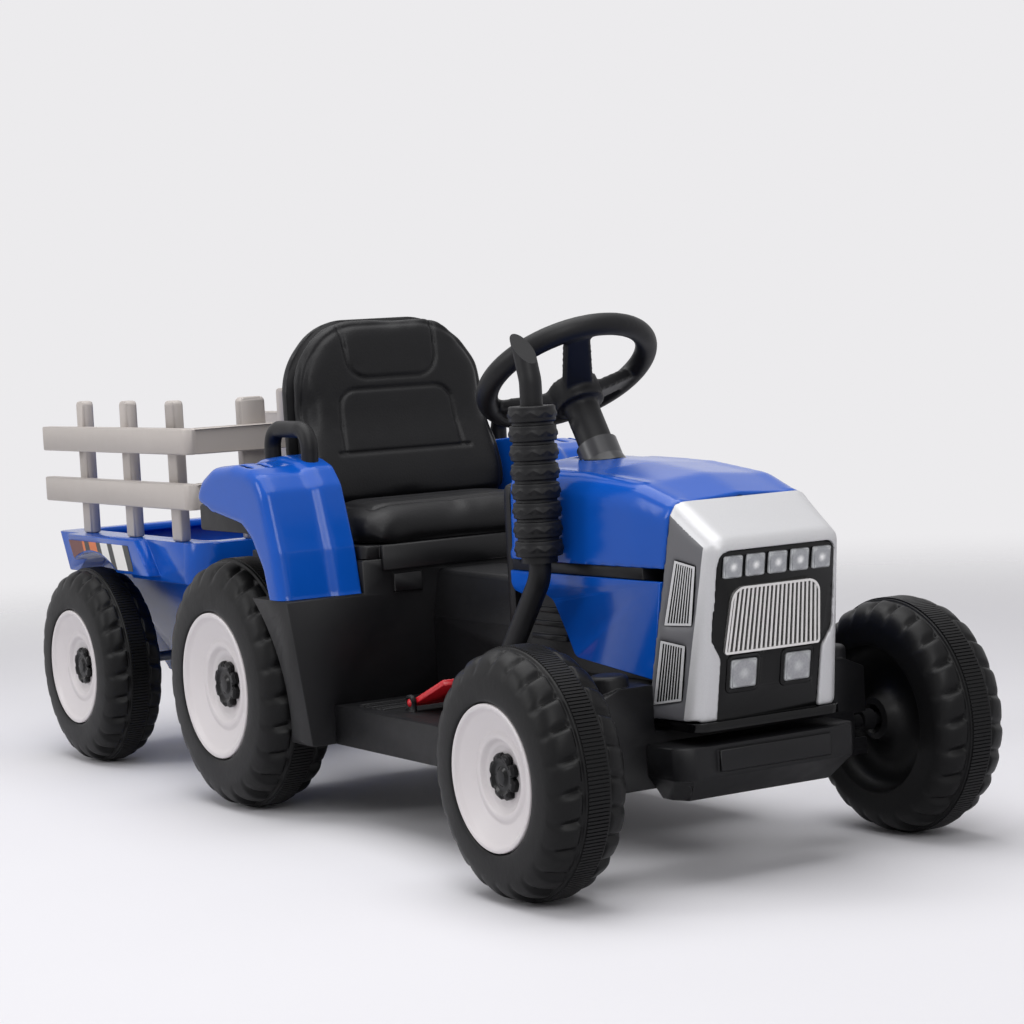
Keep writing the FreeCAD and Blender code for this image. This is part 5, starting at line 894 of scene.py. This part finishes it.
def nose():
    """Silver shell with rounder edges, its sides grey."""
    bars = [(Vector((1, side, 1)) * Vector(a), Vector((1, side, 1)) * Vector(b), r)
            for side in (-1, 1) for a, b, r in NOSE_BARS]
    piece = softened("nose_shell", "nose_shell_painted", 1.5 * MM, 6,
                     lambda p: ahead_of_seam(p) > 7 * MM and (abs(p.y) > 73.5 * MM or p.z > 0.304), 40, bars)
    for spot, way in FIELD_EDGES:
        pick(piece, on_side)
        bpy.ops.mesh.bisect(plane_co=spot, plane_no=way)
        done()
    painted(piece, silver_paint, grey_abs, lambda f: abs(f.center.y) > 60 * MM and side_depth(f.center) > -MM
            and all((f.center - spot).dot(way) < 0 for spot, way in FIELD_EDGES))
    smooth(piece, 50)
    return flushed(piece)


def side_grilles():
    """Frames and bars with a bright top, black on their flanks and behind them."""
    piece = copied("side_grilles", "side_grilles_painted")
    plain_faces(piece)
    pick(piece, on_side)
    bpy.ops.mesh.inset(thickness=0.45 * MM, depth=0.0)
    done()
    inner = [face.select for face in piece.data.polygons]
    painted(piece, black_abs, silver_paint, lambda f: inner[f.index])
    smooth(piece, 30)
    return flushed(piece)


fitted(nose(), "tractor", "silver_paint", None, "nose_shell")
fitted(side_grilles(), "tractor", "silver_paint", None, "side_grilles")


# Bonnet: how far its rear corners are drawn back, and from which half width and place on.

CORNER_DRAW = 21 * MM
CORNER_HALF, CORNER_HALF_RUN = 30 * MM, 55 * MM
CORNER_FROM, CORNER_RUN = 0.42, 52 * MM


def bonnet():
    """Bonnet whose facets run into each other; its edges stay and its rear corners reach back to the dash."""
    piece = softened("bonnet", "bonnet_blown", 1.9 * MM, 3,
                     lambda p: ahead_of_seam(p) < -7 * MM and p.z > 0.289 and p.x > 0.349, 70)
    for spot in points(piece):
        aside = held((abs(spot.y) - CORNER_HALF) / CORNER_HALF_RUN)
        spot.x -= CORNER_DRAW * aside * aside * held((CORNER_FROM - spot.x) / CORNER_RUN)
    return piece


stand_in(bonnet(), "bonnet")


# Rear fenders: blown softly, with a short square end at the rear and a black liner under the lip.

# The tail behind this place is squeezed to a share of its length and lifted towards its end.
FENDER_TAIL, FENDER_END, FENDER_SQUEEZE, FENDER_LIFT = -0.058, -0.125, 0.51, 10 * MM
# The front leg, ahead of its rear edge, is drawn down from its top and cut level at its foot.
LEG_REAR, LEG_REAR_RUN = 0.06, 15 * MM
LEG_TOP, LEG_TOP_RUN, LEG_DRAW, FENDER_FOOT = 0.285, 25 * MM, 20 * MM, 0.2365
LINER_MIDDLE, LINER_SIZE = (-0.0235, -0.1765, 0.316), (0.135, 0.075, 0.028)


def fender(side):
    piece = softened("rear_fender_" + side, "rear_fender_%s_blown" % side, 1.5 * MM, 5,
                     lambda p: p.z > 0.242 and abs(p.y) > 0.131, 45)
    for spot in points(piece):
        behind = min(spot.x - FENDER_TAIL, 0)
        spot.x -= behind * (1 - FENDER_SQUEEZE)
        spot.z += FENDER_LIFT * min(behind / (FENDER_END - FENDER_TAIL), 1)
        ahead = held((spot.x - LEG_REAR) / LEG_REAR_RUN)
        spot.z -= LEG_DRAW * ahead * held((LEG_TOP - spot.z) / LEG_TOP_RUN)
    pick(piece, lambda f: True)
    bpy.ops.mesh.bisect(plane_co=(0, 0, FENDER_FOOT), plane_no=(0, 0, -1), use_fill=True, clear_outer=True)
    done()
    return smooth(piece, 70)


def liner():
    """Black strip that closes the hollow of the right fender from below."""
    deselect()
    bpy.ops.mesh.primitive_cube_add(size=1, location=LINER_MIDDLE)
    bpy.context.active_object.scale = LINER_SIZE
    piece = named("fender_liner_right")
    rolled(piece, 3 * MM, 3, 30)
    return smooth(piece, 40)


for side in ("right", "left"):
    stand_in(fender(side), "rear_fender_" + side)
right_liner = liner()
for piece in (right_liner, twin(right_liner, "fender_liner_left")):
    fitted(piece, "tractor", "black_satin_plastic", black_pp)


# Trailer: film on its wheel arches, and its tray.

FILM_MIDDLE, FILM_SIZE = (-0.49, -0.1662, 0.252), (0.2, 0.0004, 0.030)
ARCH_MIDDLE, ARCH_RADIUS = (-0.511, -0.1662, 0.118), 0.139
# Ends of the film: a point on each and its direction out of the film.
FILM_ENDS = (((-0.5815, 0, 0.267), (-0.041, 0, -0.026)), ((-0.4015, 0, 0.267), (1, 0, STRIPE_LEAN)))


def arch_stripes():
    """Film on the right wheel arch of the trailer, cut round the arch and along the lean of its ends."""
    deselect()
    bpy.ops.mesh.primitive_cube_add(size=1, location=FILM_MIDDLE)
    bpy.context.active_object.scale = FILM_SIZE
    piece = named("arch_stripes_right")
    deselect()
    bpy.ops.mesh.primitive_cylinder_add(vertices=96, radius=ARCH_RADIUS, depth=0.02, location=ARCH_MIDDLE,
                                        rotation=(math.pi / 2, 0, 0))
    cutter = named("arch_cutter")
    modify(piece, "BOOLEAN", object=cutter, operation="DIFFERENCE", solver="EXACT")
    bpy.data.objects.remove(cutter)
    for spot, way in FILM_ENDS:
        pick(piece, lambda f: True)
        bpy.ops.mesh.bisect(plane_co=spot, plane_no=way, use_fill=True, clear_outer=True)
        done()
    return outward(piece)


right_stripes = arch_stripes()
for piece in (right_stripes, twin(right_stripes, "arch_stripes_left")):
    fitted(piece, "trailer", "blue_gloss_plastic", stripe_film)

TRAY_REAR, TRAY_RIM, TRAY_DROP, TRAY_DRAW = -0.605, 0.263, 30 * MM, 24 * MM


def tray():
    """Tray whose rear wall is drawn in below the rim."""
    piece = eased("trailer_tray", "trailer_tray_eased", 1.2 * MM)
    for spot in points(piece):
        if spot.x < TRAY_REAR:
            spot.x += TRAY_DRAW * held((TRAY_RIM - spot.z) / TRAY_DROP)
    return piece


stand_in(tray(), "trailer_tray")


# Face panel and dash.

FLANGE_FROM, FLANGE_HALF = 0.25, 64.5 * MM


def face_panel():
    """Face panel whose hidden flange stays behind the rounded corners of the nose."""
    piece = eased("grille_panel", "grille_panel_eased", 0.6 * MM)
    for spot in points(piece):
        if spot.z > FLANGE_FROM:
            spot.y = min(max(spot.y, -FLANGE_HALF), FLANGE_HALF)
    return piece


stand_in(face_panel(), "grille_panel")

# The dash reaches out, and its top corners rise, from these half widths on to its own.
DASH_HALF, DASH_OUT_FROM, DASH_UP_FROM = 80 * MM, 56 * MM, 44 * MM
DASH_SHOULDER, DASH_SHOULDER_RUN = 0.322, 12 * MM
DASH_REACH, DASH_LIFT = 10 * MM, 15 * MM


def dash():
    """Dash panel whose edges reach out to the inside of the bonnet, most at its top corners."""
    piece = eased("dash_panel", "dash_panel_eased", 1.2 * MM)
    for spot in points(piece):
        aside = held((abs(spot.y) - DASH_OUT_FROM) / (DASH_HALF - DASH_OUT_FROM))
        raised = held((abs(spot.y) - DASH_UP_FROM) / (DASH_HALF - DASH_UP_FROM))
        raised *= held((spot.z - DASH_SHOULDER) / DASH_SHOULDER_RUN)
        spot.y += math.copysign(DASH_REACH * aside, spot.y)
        spot.z += DASH_LIFT * raised
    return piece


stand_in(dash(), "dash_panel")


# Other mouldings, with the width of their rolled edges in millimetres.

EDGE_MM = {"trailer_rails": 2.2, "trailer_posts": 3.0, "front_bumper": 1.8, "floor_pan": 1.2,
           "rear_body": 1.6, "foot_pedal": 0.8, "front_axle_beam": 1.2, "bay_frame": 1.0,
           "side_panels": 1.2, "centre_tunnel": 1.2, "seat_shell": 1.4}
for node_name, width in EDGE_MM.items():
    stand_in(eased(node_name, node_name + "_eased", width * MM), node_name)


# Floor, light and camera.

# The paper's radius and the stretch over which it fades into the room.
PAPER_RADIUS, FADE_FROM, FADE_TO = 3.2, 1.2, 3.1


def studio():
    """A pale round of paper under the tractor that runs out into the room."""
    deselect()
    bpy.ops.mesh.primitive_circle_add(vertices=96, radius=PAPER_RADIUS, fill_type="NGON")
    sweep = named("studio_paper")
    material, tree, place = blank("paper_matt_pale", {"Roughness": 0.7, "Specular IOR Level": 0.2})
    shader = tree.nodes["Principled BSDF"]
    mottle = add(tree, "TexNoise", {"Scale": 2.0, "Detail": 2.0}, {"Vector": place})
    tone = add(tree, "ValToRGB", links={"Fac": mottle.outputs["Fac"]})
    tone.color_ramp.elements[0].color = linear("#DEDDE1")
    tone.color_ramp.elements[1].color = linear("#E3E2E6")
    tree.links.new(tone.outputs["Color"], shader.inputs["Base Color"])
    reach = add(tree, "VectorMath", operation="LENGTH", links={0: place})
    fade = add(tree, "MapRange", {"From Min": FADE_FROM, "From Max": FADE_TO},
               {"Value": reach.outputs["Value"]}, interpolation_type="SMOOTHSTEP")
    clear = add(tree, "BsdfTransparent")
    mix = add(tree, "MixShader",
              links={"Fac": fade.outputs["Result"], 1: shader.outputs["BSDF"], 2: clear.outputs["BSDF"]})
    tree.links.new(mix.outputs["Shader"], tree.nodes["Material Output"].inputs["Surface"])
    dress(sweep, material)


def lamp(name, place, target, size, power):
    light = bpy.data.lights.new(name, "AREA")
    light.shape = "RECTANGLE"
    light.size, light.size_y = size
    light.energy = power
    holder = bpy.data.objects.new(name, light)
    bpy.context.scene.collection.objects.link(holder)
    holder.location = place
    holder.rotation_euler = (Vector(target) - Vector(place)).to_track_quat("-Z", "Y").to_euler()


ROOM_FILL, ROOM_SEEN = 0.4, 1.0


def light_room():
    """A pale room for what is seen directly, mirrored or through; a dimmer one for the fill."""
    world = bpy.data.worlds.new("studio_room")
    world.use_nodes = True
    tree = world.node_tree
    room = tree.nodes["Background"]
    room.inputs["Color"].default_value = linear("#ECEBED")
    path = add(tree, "LightPath")
    mirrored = add(tree, "Math", operation="MAXIMUM",
                   links={0: path.outputs["Is Glossy Ray"], 1: path.outputs["Is Transmission Ray"]})
    seen = add(tree, "Math", operation="MAXIMUM",
               links={0: path.outputs["Is Camera Ray"], 1: mirrored.outputs["Value"]})
    level = add(tree, "MapRange", {"To Min": ROOM_FILL, "To Max": ROOM_SEEN},
                {"Value": seen.outputs["Value"]})
    tree.links.new(level.outputs["Result"], room.inputs["Strength"])
    bpy.context.scene.world = world
    lamp("overhead_softbox", place=(0.1, -0.2, 2.3), target=(0.1, 0, 0.2), size=(2.6, 2.0), power=46)
    lamp("front_softbox", place=(2.8, -1.2, 2.0), target=(0.3, 0, 0.25), size=(1.2, 1.4), power=26)
    lamp("side_softbox", place=(-0.9, -2.8, 1.7), target=(-0.1, 0, 0.25), size=(0.8, 1.6), power=24)


# The camera's place, turn, tilt, roll and focal length in pixels, from points matched in the photograph.
CAMERA_PLACE = Vector((2.54567, -1.43433, 0.51007))
CAMERA_TURN, CAMERA_DROP, CAMERA_ROLL = (math.radians(angle) for angle in (58.55, 4.10, -3.11))
FOCAL_PIXELS, IMAGE_PIXELS, SENSOR_MM = 2696.7, 1024, 36.0


def photo_camera():
    """The camera where the photograph was taken."""
    camera = bpy.data.cameras.new("photo_camera")
    camera.sensor_width = SENSOR_MM
    camera.lens = SENSOR_MM * FOCAL_PIXELS / IMAGE_PIXELS
    camera.clip_end = 100
    holder = bpy.data.objects.new("photo_camera", camera)
    bpy.context.scene.collection.objects.link(holder)
    turn, tilt, roll = (Matrix.Rotation(angle, 4, axis) for angle, axis in (
        (CAMERA_TURN, "Z"), (math.pi / 2 - CAMERA_DROP, "X"), (CAMERA_ROLL, "Z")))
    holder.matrix_world = Matrix.Translation(CAMERA_PLACE) @ turn @ tilt @ roll
    bpy.context.scene.camera = holder


studio()
light_room()
photo_camera()
bpy.context.scene.view_settings.view_transform = "Standard"
